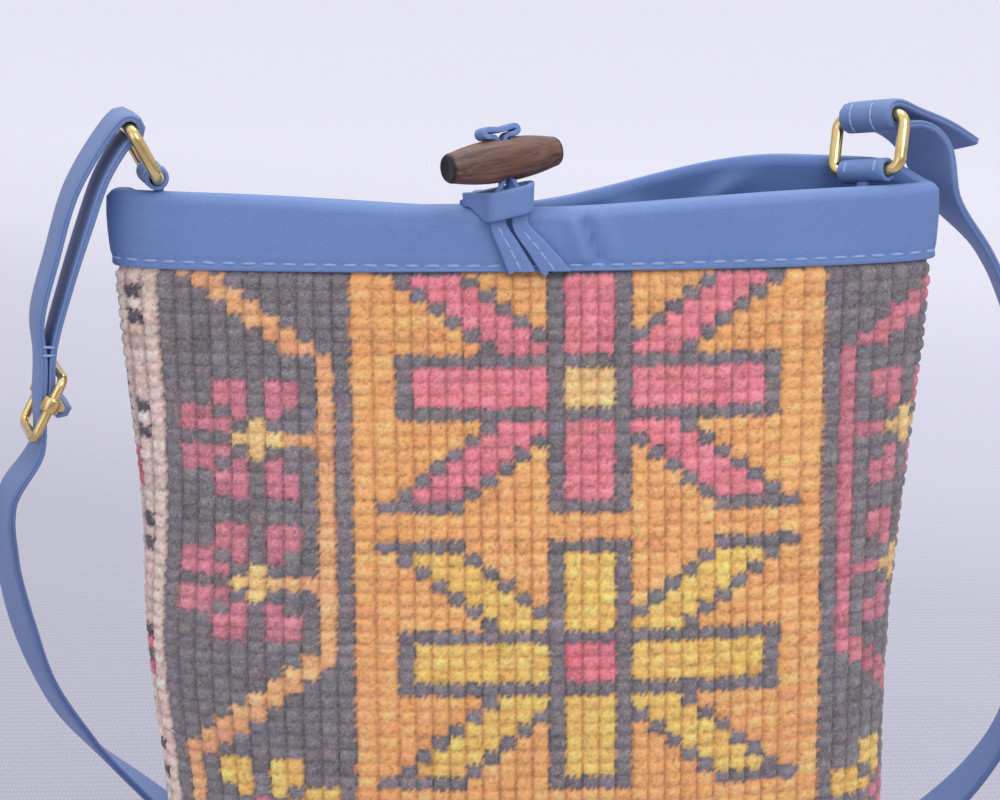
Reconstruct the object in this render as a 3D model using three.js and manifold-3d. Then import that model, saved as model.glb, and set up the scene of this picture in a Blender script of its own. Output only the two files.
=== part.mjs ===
// Crossbody bag: a knotted rug front, a leather back, a folded leather mouth band,
// a toggle closure and an adjustable strap on two brass rings.
// Millimetres, +Z up, the front faces -Y, the origin is under the middle of the bag.
import * as THREE from 'three';
import Module from 'manifold-3d';

const wasm = await Module();
wasm.setup();

// Body of the bag
const bagHeight = 286;
const mouthHalfWidth = 120;
const baseHalfWidth = 108.5;
const mouthFrontDepth = 17;
const mouthBackDepthLeft = 6;
const mouthBackDepthRight = 33;
const mouthBackDepthSeam = 17;
const baseDepth = 34;
const bellyHeight = 130;
const mouthRoundness = 1;
const baseRoundness = 0.8;
const bottomRadius = 13;
const panelThickness = 3.4;
const liningThickness = 0.8;
const fitGap = 0.35;
const seamGap = 0.3;

// Where the back of the mouth swings open and where it closes, as shares of the half width or depth
const openFrom = 0.03;
const openTo = 0.8;
const leftSeamFrom = 0.35;
const leftSeamTo = 0.95;
const rimEndFrom = 0.1;
const rimEndTo = 0.5;

// Weave of the rug
const knotColumns = 48;
const ribDepth = 0.6;

// Rim and mouth band
const rimSag = 4.5;
const rimSagWidth = 66;
const backRimRise = 5;
const backRimDip = 4;
const bandHeight = 22.2;
const bandFacingHeight = 22;
const bandThickness = 1.4;
const bandCrown = 1.2;

// Brass rings and their tabs
const strapWidth = 18;
const strapThickness = 2.4;
const ringWireRadius = 1.8;
const ringSideClearance = 1;
const ringHeight = 16.2;
const ringCornerRadius = 3.4;
const leftRingInset = 13.2;
const leftRingTurn = 16;
const leftRingLean = -27;
const rightRingInset = 21;
const rightRingY = 2;
const rightRingDrop = 1;
const rightRingTurn = -45;
const rightRingRoll = -9;
const rightRingLean = 20;
const tabThickness = 1.3;
const tabStemWidth = 3.6;
const tabStemThickness = 2.8;
const tabStemShift = 1.6;
const tabStemLength = 21;

// Slider of the strap, placed beside the bag at a share of its half width and height
const sliderOut = 1.185;
const sliderUp = 0.789;
const strapLean = 4;
const sliderWireRadius = 1.4;
const sliderBarRadius = 1.2;
const sliderLength = 19.5;
const sliderTilt = 24.6;
const sliderSleeveRadius = 2.6;
const sliderSleeveLength = 4.5;
const sliderCornerRadius = 3;
const strapEndThickness = 2;
const strapSlack = 0.25;

// Toggle, thong and closure loop
const toggleLength = 37;
const toggleRadius = 6.2;
const toggleEndRadius = 3.9;
const toggleEdge = 1;
const toggleHoleRadius = 3.5;
const toggleX = -6.6;
const toggleForward = 16;
const toggleAboveRim = 14.1;
const toggleYaw = 32;
const toggleRoll = 3;
const thongWidth = 7.2;
const thongThickness = 1.8;
const thongNeckWidth = 4.6;
const thongHoleWidth = 3.4;
const thongHoleThickness = 1.4;
const thongHoleOffset = 1.2;
const thongNeckX = -4.7;
const thongNeckSpacing = 6.2;
const thongFootX = 3.3;
const thongFootSpacing = 9.6;
const thongFootAboveBand = 0.6;
const thongNarrowing = 1;
const thongEnters = 0.78;
const thongLeaves = 0.8;
const thongBowNeck = 1.9;
const thongBowNeckLift = 0.5;
const thongBowHalfLength = 3.5;
const thongBowRadius = 1.2;
const thongBowLift = 2.2;
const thongBowCrown = 0.3;
const collarWall = 1.8;
const collarHeight = 9.6;
const collarAboveRim = 6.5;
const collarCorner = 1.6;
const collarSideRoom = 0.4;
const collarFrontRoom = 0.4;
const collarBackRoom = 2.2;
const loopBend = 1;
const loopWidth = 14;
const loopTailLength = 22;

// Facets of the curved surfaces
const halfRoundFacets = 24;
const seamCrowding = 0.09;
const cornerRows = 3;
const wallBands = 8;
const columnSearch = 30;
const wireFacets = 10;
const wireCornerFacets = 4;
const tabFacets = 20;
const barFacets = 12;
const sleeveFacets = 14;
const toggleFacets = 24;
const toggleHoleFacets = 18;
const curveFacets = 4;

// Colours from the photograph
const colours = {
  rug: 0xb08468,
  leather: 0x6f88bf,
  lining: 0x8d8a99,
  brass: 0xc9a552,
  wood: 0x5a4038,
};

// Small helpers
const vec = (x, y, z) => new THREE.Vector3(x, y, z);
const radians = THREE.MathUtils.degToRad;
const mix = THREE.MathUtils.lerp;
const smooth = THREE.MathUtils.smoothstep;
const steps = (count) => Array.from({ length: count + 1 }, (_, i) => i / count);
const power = (value, exponent) => Math.sign(value) * Math.abs(value) ** exponent;

// A closed surface, collected as quads and triangles and welded where corners meet.
class Skin {
  constructor() {
    this.points = [];
    this.indices = [];
    this.keys = new Map();
  }

  corner(point) {
    const key = point.toArray().map((value) => Math.round(value * 1e4)).join(' ');
    if (!this.keys.has(key)) {
      this.keys.set(key, this.points.length / 3);
      this.points.push(point.x, point.y, point.z);
    }
    return this.keys.get(key);
  }

  triangle(a, b, c) {
    const [i, j, k] = [a, b, c].map((point) => this.corner(point));
    if (i !== j && j !== k && k !== i) {
      this.indices.push(i, j, k);
    }
  }

  quad(a, b, c, d) {
    this.triangle(a, b, c);
    this.triangle(a, c, d);
  }

  // Rows of points from the bottom up, facing out or, for the inside of a wall, facing in
  grid(rows, inward = false) {
    for (let i = 0; i + 1 < rows.length; i += 1) {
      for (let j = 0; j + 1 < rows[i].length; j += 1) {
        const [a, b, c, d] = [rows[i][j], rows[i][j + 1], rows[i + 1][j + 1], rows[i + 1][j]];
        if (inward) {
          this.quad(a, d, c, b);
        } else {
          this.quad(a, b, c, d);
        }
      }
    }
  }

  // A strip between two edges that start and end together, with any number of points.
  strip(first, second) {
    let i = 0;
    let j = 0;
    while (i + 1 < first.length || j + 1 < second.length) {
      const alongFirst = (i + 1) / (first.length - 1);
      const alongSecond = (j + 1) / (second.length - 1);
      if (j + 1 >= second.length || (i + 1 < first.length && alongFirst <= alongSecond + 1e-9)) {
        this.triangle(first[i], first[i + 1], second[j]);
        i += 1;
      } else {
        this.triangle(first[i], second[j + 1], second[j]);
        j += 1;
      }
    }
  }

  geometry() {
    const result = new THREE.BufferGeometry();
    result.setAttribute('position', new THREE.Float32BufferAttribute(this.points, 3));
    result.setIndex(this.indices);
    return result;
  }
}

// Joins and cuts
function solid(geometry) {
  const skin = new Skin();
  const position = geometry.getAttribute('position');
  const order = geometry.index ? Array.from(geometry.index.array) : [...Array(position.count).keys()];
  const at = (i) => new THREE.Vector3().fromBufferAttribute(position, i);
  for (let i = 0; i < order.length; i += 3) {
    skin.triangle(at(order[i]), at(order[i + 1]), at(order[i + 2]));
  }
  const mesh = new wasm.Mesh({
    numProp: 3,
    vertProperties: new Float32Array(skin.points),
    triVerts: new Uint32Array(skin.indices),
  });
  return new wasm.Manifold(mesh);
}

function surface(body) {
  const mesh = body.getMesh();
  const result = new THREE.BufferGeometry();
  result.setAttribute('position', new THREE.Float32BufferAttribute(mesh.vertProperties, 3));
  result.setIndex(new THREE.Uint32BufferAttribute(mesh.triVerts, 1));
  return result;
}

function part(name, geometry, colour, roughness, metalness = 0) {
  const material = new THREE.MeshStandardMaterial({ color: colour, roughness, metalness });
  const mesh = new THREE.Mesh(geometry, material);
  mesh.name = name;
  return mesh;
}

const rug = (name, geometry) => part(name, geometry, colours.rug, 0.95);
const leather = (name, geometry) => part(name, geometry, colours.leather, 0.5);
const brass = (name, geometry) => part(name, geometry, colours.brass, 0.2, 1);

// Form of the bag: an inset layer of its wall at an angle round the mouth and a height.
// Angles run from -PI at the left seam over the front to 0 at the right seam and on over the back.
const wallRise = (z) => smooth(z, bellyHeight, bagHeight);
const halfWidth = (z) => mix(baseHalfWidth, mouthHalfWidth, wallRise(z));
const roundness = (z) => mix(baseRoundness, mouthRoundness, wallRise(z));
const frontDepth = (z) => mix(baseDepth, mouthFrontDepth, wallRise(z));

function backDepth(z, angle) {
  const toRight = smooth(Math.cos(angle), openFrom, openTo);
  const awayFromSeam = smooth(Math.sin(angle), leftSeamFrom, leftSeamTo);
  const nearLeftSeam = Math.cos(angle) < 0 ? 1 - awayFromSeam : 0;
  const middle = mix(mouthBackDepthLeft, mouthBackDepthRight, toRight);
  return mix(baseDepth, mix(middle, mouthBackDepthSeam, nearLeftSeam), wallRise(z));
}

function wallPoint(inset, angle, z, shrink = inset, flatten = 1) {
  const exponent = roundness(z);
  const x = (halfWidth(z) - shrink) * power(Math.cos(angle), exponent);
  const depth = angle < 0 ? frontDepth(z) : backDepth(z, angle);
  const y = (depth - shrink) * power(Math.sin(angle), exponent) * flatten;
  return vec(x, y, z);
}

function rimHeight(angle) {
  const x = mouthHalfWidth * Math.cos(angle);
  const sag = Math.exp(-((x / rimSagWidth) ** 2)) * Math.abs(Math.sin(angle));
  if (angle < 0) {
    return bagHeight - rimSag * sag;
  }
  const awayFromEnds = smooth(Math.sin(angle), rimEndFrom, rimEndTo);
  const open = smooth(x, openFrom * mouthHalfWidth, openTo * mouthHalfWidth);
  return bagHeight + mix(-backRimDip, backRimRise, open) * awayFromEnds;
}

// Lower edge of the mouth band: level across the front, parallel to the rim at the back
const bandBottom = (angle) => (angle < 0 ? bagHeight : rimHeight(angle)) - bandHeight;

// Wall layers, counted inward from the outside of the mouth band
const panelInset = bandThickness + fitGap;
const panelInner = panelInset + panelThickness;
const liningInset = panelInner + fitGap;
const liningInner = liningInset + liningThickness;
const facingInset = liningInner + fitGap;

// One row of the wall: the flat bottom, its rounded edge, the standing wall or the edge in the band.
function wallRow(row, inset, angle) {
  const depthBelowPanel = inset - panelInset;
  const radius = bottomRadius - depthBelowPanel;
  if (row.kind === 'wall') {
    return wallPoint(inset, angle, mix(bottomRadius, bandBottom(angle), row.along));
  }
  if (row.kind === 'edge') {
    return wallPoint(inset, angle, rimHeight(angle) - row.below);
  }
  const turn = row.kind === 'bottom' ? Math.PI / 2 : row.turn;
  const shrink = panelInset + bottomRadius - radius * Math.cos(turn);
  const z = bottomRadius - radius * Math.sin(turn);
  const point = wallPoint(inset, angle, bottomRadius, shrink, row.kind === 'bottom' ? row.along : 1);
  return point.setZ(z);
}

function wallRows(topGap) {
  const bottom = { kind: 'bottom', along: 0 };
  const corner = steps(cornerRows).map((along) => ({ kind: 'corner', turn: (1 - along) * Math.PI / 2 }));
  const wall = steps(wallBands).slice(1).map((along) => ({ kind: 'wall', along }));
  const edge = [bandHeight / 2, panelInset + topGap].map((below) => ({ kind: 'edge', below }));
  return [bottom, ...corner, ...wall, ...edge];
}

// Height of a row at the side seams
function rowHeight(row) {
  if (row.kind === 'edge') {
    return bagHeight - row.below;
  }
  return row.kind === 'wall' ? mix(bottomRadius, bagHeight - bandHeight, row.along) : bottomRadius;
}

// Angles that divide the front at one height into columns of equal width
function columnAngles(count, z) {
  const fine = steps(count * columnSearch).map((along) => mix(-Math.PI, 0, along));
  const points = fine.map((angle) => wallPoint(panelInset, angle, z));
  const lengths = [0];
  for (let i = 1; i < fine.length; i += 1) {
    lengths.push(lengths[i - 1] + points[i].distanceTo(points[i - 1]));
  }
  return steps(count).map((along) => {
    const wanted = along * lengths.at(-1);
    const next = Math.max(1, lengths.findIndex((length) => length >= wanted));
    const share = (wanted - lengths[next - 1]) / (lengths[next] - lengths[next - 1]);
    return mix(fine[next - 1], fine[next], share);
  });
}

// A panel between the two side seams, open at the top, turned under to the bottom seam
function panel(outerAngles, innerAngles, outerInset, side) {
  const rows = wallRows(0);
  const shift = vec(0, side * seamGap / 2, 0);
  const place = (row, inset, angle) => wallRow(row, inset, angle).add(shift);
  const outer = rows.map((row) => outerAngles(row).map((angle, i) => place(row, outerInset(i), angle)));
  const inner = rows.map((row) => innerAngles.map((angle) => place(row, panelInner, angle)));
  const last = rows.length - 1;
  const column = (grid, i) => grid.map((row) => row.at(i));
  const skin = new Skin();
  skin.grid(outer);
  skin.grid(inner, true);
  skin.strip(outer[last], inner[last]);
  skin.strip(inner[0], outer[0]);
  skin.strip(column(outer, 0), column(inner, 0));
  skin.strip(column(inner, -1), column(outer, -1));
  return skin.geometry();
}

// Angles shared by every layer that lies against another, closer together at the tight side seams
const frontAngles = steps(halfRoundFacets).map((along) => {
  const crowded = along - seamCrowding * Math.sin(2 * Math.PI * along);
  return mix(-Math.PI, 0, crowded);
});
const backAngles = frontAngles.map((angle) => -angle).reverse();
const roundAngles = [...frontAngles, ...backAngles.slice(1)];

function frontRugPanel() {
  const ribs = (row) => columnAngles(knotColumns * 2, rowHeight(row));
  const ribInset = (i) => panelInset + (i % 2 === 0 ? ribDepth : 0);
  return rug('front_rug_panel', panel(ribs, frontAngles, ribInset, -1));
}

function backPanel() {
  return leather('back_panel', panel(() => backAngles, backAngles, () => panelInset, 1));
}

// The lining is one pouch, open at the mouth and tucked into the fold of the band
function liningPouch() {
  const rows = wallRows(fitGap);
  const layer = (inset) => rows.map((row) => roundAngles.map((angle) => wallRow(row, inset, angle)));
  const outer = layer(liningInset);
  const inner = layer(liningInner);
  const skin = new Skin();
  skin.grid(outer);
  skin.grid(inner, true);
  skin.strip(outer.at(-1), inner.at(-1));
  return part('lining', skin.geometry(), colours.lining, 0.9);
}

// The band is one leather strip folded over the mouth, sewn to itself round the bag
function mouthBand() {
  const section = (angle) => {
    const rim = rimHeight(angle);
    const innermost = facingInset + bandThickness;
    const outline = [
      [0, bandBottom(angle)],
      [bandThickness, bandBottom(angle)],
      [bandThickness, rim - bandHeight / 2],
      [bandThickness, rim - bandThickness],
      [facingInset, rim - bandThickness],
      [facingInset, rim - bandHeight / 2],
      [facingInset, rim - bandFacingHeight],
      [innermost, rim - bandFacingHeight],
      [innermost, rim - bandHeight / 2],
      [innermost, rim - bandCrown],
      [innermost - bandCrown, rim],
      [bandCrown, rim],
      [0, rim - bandCrown],
      [0, rim - bandHeight / 2],
    ];
    return outline.map(([inset, z]) => wallPoint(inset, angle, z));
  };
  const sections = roundAngles.map(section);
  const skin = new Skin();
  skin.grid(sections.map((points) => [...points, points[0]]));
  return leather('mouth_band', skin.geometry());
}

// A closed ring of round wire along a rounded rectangle in the local YZ plane
function wireLoop(width, height, cornerRadius, wireRadius) {
  const stations = [];
  [[1, 1, 0], [-1, 1, 90], [-1, -1, 180], [1, -1, 270]].forEach(([sy, sz, start]) => {
    steps(wireCornerFacets).forEach((along) => {
      const turn = radians(start + along * 90);
      const y = sy * (width / 2 - cornerRadius) + cornerRadius * Math.cos(turn);
      const z = sz * (height / 2 - cornerRadius) + cornerRadius * Math.sin(turn);
      stations.push({ centre: vec(0, y, z), outward: vec(0, Math.cos(turn), Math.sin(turn)) });
    });
  });
  const circle = ({ centre, outward }) => steps(wireFacets).map((along) => {
    const turn = 2 * Math.PI * along;
    const offset = outward.clone().multiplyScalar(wireRadius * Math.cos(turn));
    return centre.clone().add(offset).add(vec(-wireRadius * Math.sin(turn), 0, 0));
  });
  const skin = new Skin();
  skin.grid([...stations, stations[0]].map(circle));
  return skin.geometry();
}

// Brass ring and its leather tab, with the lower bar along the local Y axis at the origin
const ringBarHeight = bagHeight + fitGap + tabThickness + fitGap + ringWireRadius;
const ringWidth = strapWidth + 2 * (ringSideClearance + ringWireRadius);
const tabWidth = ringWidth - 2 * (ringCornerRadius + fitGap);

function ring(name) {
  const geometry = wireLoop(ringWidth, ringHeight, ringCornerRadius, ringWireRadius);
  geometry.translate(0, 0, ringHeight / 2);
  return brass(name, geometry);
}

function ringTab(name, stemSide) {
  const barHole = ringWireRadius + fitGap;
  const loopRadius = barHole + tabThickness;
  const loop = new THREE.CylinderGeometry(loopRadius, loopRadius, tabWidth, tabFacets);
  const hole = new THREE.CylinderGeometry(barHole, barHole, 2 * tabWidth, tabFacets);
  const stem = new THREE.BoxGeometry(tabStemThickness, tabStemWidth, tabStemLength);
  stem.translate(stemSide * tabStemShift, 0, -tabStemLength / 2);
  const body = solid(loop).add(solid(stem)).subtract(solid(hole));
  return leather(name, surface(body));
}

function ringAssembly(side, place, turn, roll, lean) {
  const group = new THREE.Group();
  group.position.copy(place);
  group.rotation.set(radians(roll), 0, radians(turn), 'ZYX');
  const swing = new THREE.Group();
  swing.rotation.y = radians(lean);
  swing.add(ring(`${side}_ring`));
  group.add(swing);
  group.add(ringTab(`${side}_ring_tab`, side === 'left' ? 1 : -1));
  return group;
}

const leftRingPlace = vec(leftRingInset - mouthHalfWidth, 0, ringBarHeight);
const rightRingPlace = vec(mouthHalfWidth - rightRingInset, rightRingY, ringBarHeight - rightRingDrop);

function ringTop(place, turn, roll, lean) {
  const up = vec(0, 0, ringHeight);
  up.applyAxisAngle(vec(0, 1, 0), radians(lean));
  up.applyAxisAngle(vec(1, 0, 0), radians(roll));
  up.applyAxisAngle(vec(0, 0, 1), radians(turn));
  return up.add(place);
}

const leftRingTop = ringTop(leftRingPlace, leftRingTurn, 0, leftRingLean);
const rightRingTop = ringTop(rightRingPlace, 90 + rightRingTurn, rightRingRoll, rightRingLean);

// A flat strip along a route: each stop has a place, an edge direction and its own section
function strip(stops, samples) {
  const spline = (values) => new THREE.CatmullRomCurve3(values, false, 'centripetal');
  const route = spline(stops.map((stop) => stop.at));
  const edges = spline(stops.map((stop) => stop.edge));
  const sizes = new THREE.CatmullRomCurve3(stops.map((stop) => vec(stop.width, stop.thickness, 0)));
  const count = (stops.length - 1) * samples;
  const sections = steps(count).map((along) => {
    const centre = route.getPoint(along);
    const tangent = route.getTangent(along);
    const edge = edges.getPoint(along);
    edge.addScaledVector(tangent, -edge.dot(tangent)).normalize();
    const face = tangent.clone().cross(edge);
    const size = sizes.getPoint(along);
    const corner = (u, v) => centre.clone()
      .addScaledVector(edge, u * size.x / 2)
      .addScaledVector(face, v * size.y / 2);
    return [corner(1, -1), corner(1, 1), corner(-1, 1), corner(-1, -1)];
  });
  const skin = new Skin();
  skin.grid(sections.map((points) => [...points, points[0]]));
  const first = sections[0];
  const last = sections[count];
  skin.quad(first[3], first[2], first[1], first[0]);
  skin.quad(last[0], last[1], last[2], last[3]);
  return skin.geometry();
}

// A place beside or behind the bag, in shares of its half width and height
const beside = (x, y, z) => vec(x * mouthHalfWidth, y, z * bagHeight);

// The left stretch of the strap stands in the plane of the left ring, which is turned
const turnLeft = (direction) => direction.applyAxisAngle(vec(0, 0, 1), radians(leftRingTurn));
const besideLeft = (x, z) => turnLeft(beside(x, 0, z).sub(leftRingPlace)).add(leftRingPlace);

// Slider, placed on the straight stretch of the strap below the left ring
const sliderPlace = besideLeft(-sliderOut, sliderUp);
const strapUp = turnLeft(vec(Math.sin(radians(strapLean)), 0, Math.cos(radians(strapLean))));
const strapAcross = turnLeft(vec(Math.cos(radians(strapLean)), 0, -Math.sin(radians(strapLean))));
const onStrap = (across, along) => sliderPlace.clone()
  .addScaledVector(strapAcross, across)
  .addScaledVector(strapUp, along);
const lowerBarAcross = -(strapThickness / 2 + strapSlack + sliderWireRadius);
const sliderCentreAcross = lowerBarAcross + sliderLength / 2 * Math.sin(radians(sliderTilt));
const strapEndAcross = strapThickness / 2 + strapSlack + strapEndThickness / 2;
const sliderBarAcross = strapEndAcross + strapEndThickness / 2 + strapSlack + sliderBarRadius;
const sliderSideY = strapWidth / 2 + strapSlack + sliderSleeveRadius;

function slider() {
  const group = new THREE.Group();
  group.position.copy(onStrap(sliderCentreAcross, 0));
  group.rotation.set(0, radians(strapLean + sliderTilt), radians(leftRingTurn), 'ZYX');
  const frame = wireLoop(2 * sliderSideY, sliderLength, sliderCornerRadius, sliderWireRadius);
  group.add(brass('slider_frame', frame));
  const reach = sliderBarAcross - sliderCentreAcross;
  const barX = reach * Math.cos(radians(sliderTilt));
  const barZ = reach * Math.sin(radians(sliderTilt));
  const bar = new THREE.CylinderGeometry(sliderBarRadius, sliderBarRadius, 2 * sliderSideY, barFacets);
  bar.translate(barX, 0, barZ);
  let body = solid(bar);
  const bore = sliderWireRadius + strapSlack;
  [-1, 1].forEach((side) => {
    const upright = (radius, length) => new THREE.CylinderGeometry(radius, radius, length, sleeveFacets)
      .rotateX(Math.PI / 2)
      .translate(0, side * sliderSideY, barZ);
    body = body.add(solid(upright(sliderSleeveRadius, sliderSleeveLength)));
    body = body.subtract(solid(upright(bore, 2 * sliderSleeveLength)));
  });
  group.add(brass('slider_bar', surface(body)));
  return group;
}

// Strap: from its cut tail round the right ring, down behind the bag, up through the slider,
// round the left ring and back down to the slider's bar, where its end is sewn.
function shoulderStrap() {
  const main = { width: strapWidth, thickness: strapThickness };
  const end = { width: strapWidth, thickness: strapEndThickness };
  const stop = (at, edge, size = main) => ({ at, edge, ...size });
  const level = vec(1, 0, 0).applyAxisAngle(vec(0, 0, 1), radians(rightRingTurn));
  const away = vec(0, 0, 1).cross(level);
  const rightBar = level.clone().applyAxisAngle(away, radians(rightRingRoll));
  const above = vec(0, 0, 1).applyAxisAngle(away, radians(rightRingRoll));
  const wrap = ringWireRadius + fitGap + strapThickness / 2;
  const byRightBar = (out, up, along = 0) => rightRingTop.clone()
    .addScaledVector(away, out)
    .addScaledVector(rightBar, along)
    .addScaledVector(above, up);
  const byLeftBar = (turn) => leftRingTop.clone()
    .add(turnLeft(vec(Math.cos(radians(turn)), 0, Math.sin(radians(turn)))).multiplyScalar(wrap));
  const edge = vec(0, -1, 0);
  const leftEdge = turnLeft(edge.clone());
  const twisted = vec(0.5, -0.87, 0);
  const leaning = vec(0, -0.95, -0.31);
  const tail = [[34, -12.5, 5], [24, -5.8, 2.5], [12, -0.2, 0], [4, 2.9, 0]];
  const offRing = [[5, -3.4, 0], [12, -4.6, 1], [19, -11, 4]];
  const rightTwist = [
    [1.034, 16.5, 0.9755, vec(0.45, -0.89, 0)],
    [1.146, 18, 0.916, vec(0.08, -1, 0)],
    [1.211, 20, 0.86, vec(0, -1, 0)],
  ];
  const rightSide = [[1.29, 25, 0.741], [1.345, 33, 0.601], [1.36, 45, 0.4545], [1.31, 59, 0.3147]];
  const behind = [
    [1.13, 77, 0.185], [0.86, 94, 0.0874], [0.55, 108, 0.0315], [0.217, 115, 0.0168],
    [-0.1, 115, 0.0168], [-0.4, 109, 0.0315], [-0.667, 95, 0.084], [-0.867, 78, 0.168],
  ];
  const leftTwist = [
    [-1.0133, 60, 0.26, vec(0.3, -0.93, -0.2)],
    [-1.169, 46, 0.3507, twisted],
    [-1.258, 32, 0.446, twisted],
    [-1.292, 18, 0.5434, twisted],
    [-1.29, 4, 0.6213, vec(0.42, -0.91, 0)],
    [-1.258, -7, 0.6888, vec(0.32, -0.95, 0)],
  ];
  const outerLayer = [[-1.181, 0.8741], [-1.1383, 0.937], [-1.08, 1.007]];
  const innerLayer = [[-1.0075, 1.0175], [-1.0583, 0.965]];
  const arc = (radius, turn) => [radius * Math.cos(radians(turn)), radius * Math.sin(radians(turn))];
  const barRadius = sliderBarAcross - strapEndAcross;
  const stops = [
    ...tail.map((place) => stop(byRightBar(...place), rightBar)),
    ...[90, 135, 180, 225, 270].map((turn) => stop(byRightBar(...arc(wrap, turn)), rightBar)),
    ...offRing.map((place) => stop(byRightBar(...place), rightBar)),
    ...rightTwist.map(([x, y, z, turned]) => stop(beside(x, y, z), turned)),
    ...rightSide.map((place) => stop(beside(...place), edge)),
    ...behind.map((place) => stop(beside(...place), leaning)),
    ...leftTwist.map(([x, y, z, turned]) => stop(beside(x, y, z), turned)),
    ...[-13, 0, 13].map((along) => stop(onStrap(0, along), leftEdge)),
    ...outerLayer.map((place) => stop(besideLeft(...place), leftEdge)),
    ...[140, 95, 50, 5, -40, -85].map((turn) => stop(byLeftBar(turn), leftEdge)),
    ...innerLayer.map((place) => stop(besideLeft(...place), leftEdge)),
    stop(besideLeft(-1.1117, 0.902), leftEdge, end),
    stop(onStrap(strapEndAcross + strapSlack, 16), leftEdge, end),
    stop(onStrap(strapEndAcross, 6), leftEdge, end),
    ...[180, 225, 270, 315, 360].map((turn) => {
      const [across, along] = arc(barRadius, turn);
      return stop(onStrap(sliderBarAcross + across, along), leftEdge, end);
    }),
  ];
  return leather('shoulder_strap', strip(stops, 2));
}

// Wooden toggle with a cross hole for the thong
const toggleAxis = vec(1, 0, 0)
  .applyAxisAngle(vec(0, 1, 0), radians(-toggleRoll))
  .applyAxisAngle(vec(0, 0, 1), radians(toggleYaw));
const rimMiddle = bagHeight - rimSag;
const toggleCentre = vec(toggleX, -toggleForward, rimMiddle + toggleAboveRim);
const collarTop = rimMiddle + collarAboveRim;
const thongFace = (z) => -frontDepth(z) - 2 * fitGap - thongThickness / 2;
const neckBase = vec(thongNeckX, thongFace(rimMiddle), rimMiddle);
const neckAxis = toggleCentre.clone().sub(neckBase).normalize();
neckAxis.addScaledVector(toggleAxis, -neckAxis.dot(toggleAxis)).normalize();
const neckDepth = neckAxis.clone().cross(toggleAxis);

function toggle() {
  const half = toggleLength / 2;
  const shoulder = toggleEndRadius + toggleEdge / 5;
  const profile = new THREE.Path();
  profile.moveTo(0, -half);
  profile.lineTo(toggleEndRadius - toggleEdge, -half);
  profile.quadraticCurveTo(toggleEndRadius, -half, shoulder, -half + toggleEdge);
  profile.quadraticCurveTo(toggleRadius, -half / 2, toggleRadius, 0);
  profile.quadraticCurveTo(toggleRadius, half / 2, shoulder, half - toggleEdge);
  profile.quadraticCurveTo(toggleEndRadius, half, toggleEndRadius - toggleEdge, half);
  profile.lineTo(0, half);
  const barrel = new THREE.LatheGeometry(profile.getPoints(curveFacets), toggleFacets);
  const holeLength = 4 * toggleRadius;
  const hole = new THREE.CylinderGeometry(toggleHoleRadius, toggleHoleRadius, holeLength, toggleHoleFacets);
  hole.rotateX(Math.PI / 2);
  const mesh = part('toggle', surface(solid(barrel).subtract(solid(hole))), colours.wood, 0.4);
  const frame = new THREE.Matrix4().makeBasis(neckDepth.clone().negate(), toggleAxis, neckAxis);
  mesh.quaternion.setFromRotationMatrix(frame);
  mesh.position.copy(toggleCentre);
  return mesh;
}

// Leather thong: one strip, sewn down at both feet and passed through the toggle and back
function toggleThong() {
  const across = vec(1, 0, 0);
  const legSize = { width: thongWidth, thickness: thongThickness };
  const middleSize = { width: (thongWidth + thongNeckWidth) / 2, thickness: thongThickness };
  const neckSize = { width: thongNeckWidth, thickness: thongThickness };
  const turningSize = { width: (thongNeckWidth + thongHoleWidth) / 2, thickness: thongThickness };
  const holeSize = { width: thongHoleWidth, thickness: thongHoleThickness };
  const footZ = bagHeight - bandHeight + thongFootAboveBand;
  const byHole = (up, side) => toggleCentre.clone()
    .addScaledVector(neckAxis, up)
    .addScaledVector(toggleAxis, side);
  const leg = (side) => {
    const neckX = thongNeckX + side * thongNeckSpacing / 2;
    const footX = thongFootX + side * thongFootSpacing / 2;
    const upper = collarTop - collarHeight - thongNarrowing;
    const middleZ = mix(footZ, upper, 0.5);
    const edge = across.clone().multiplyScalar(-side);
    const neckTop = vec(neckX, thongFace(rimMiddle), rimMiddle + thongNarrowing);
    const turning = byHole(-thongEnters * toggleRadius, side * thongHoleOffset).lerp(neckTop, 0.5);
    return [
      { at: vec(footX, thongFace(footZ), footZ), edge, ...legSize },
      { at: vec(mix(footX, neckX, 0.5), thongFace(middleZ), middleZ), edge, ...middleSize },
      { at: vec(neckX, thongFace(upper), upper), edge, ...neckSize },
      { at: neckTop, edge, ...neckSize },
      { at: turning, edge: edge.clone().add(neckDepth).normalize(), ...turningSize },
    ];
  };
  const inHole = (up, side) => ({ at: byHole(up, side), edge: neckDepth, ...holeSize });
  const passes = [-thongEnters, 0, thongLeaves].map((share) => share * toggleRadius);
  const pass = (side) => passes.map((up) => inHole(up, side * thongHoleOffset));
  const overToggle = (up, side) => inHole(toggleRadius + up, side);
  const bowEnd = (side) => [-90, -45, 0, 45, 90].map((turn) => {
    const up = thongBowLift + thongBowRadius * Math.sin(radians(turn));
    return overToggle(up, side * (thongBowHalfLength + thongBowRadius * Math.cos(radians(turn))));
  });
  const half = (side) => [...pass(side), overToggle(thongBowNeckLift, side * thongBowNeck), ...bowEnd(side)];
  const bowTop = overToggle(thongBowLift + thongBowRadius + thongBowCrown, 0);
  const over = [...half(-1), bowTop, ...half(1).reverse()];
  const stops = [...leg(-1), ...over, ...leg(1).reverse()];
  return leather('toggle_thong', strip(stops, 3));
}

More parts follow.
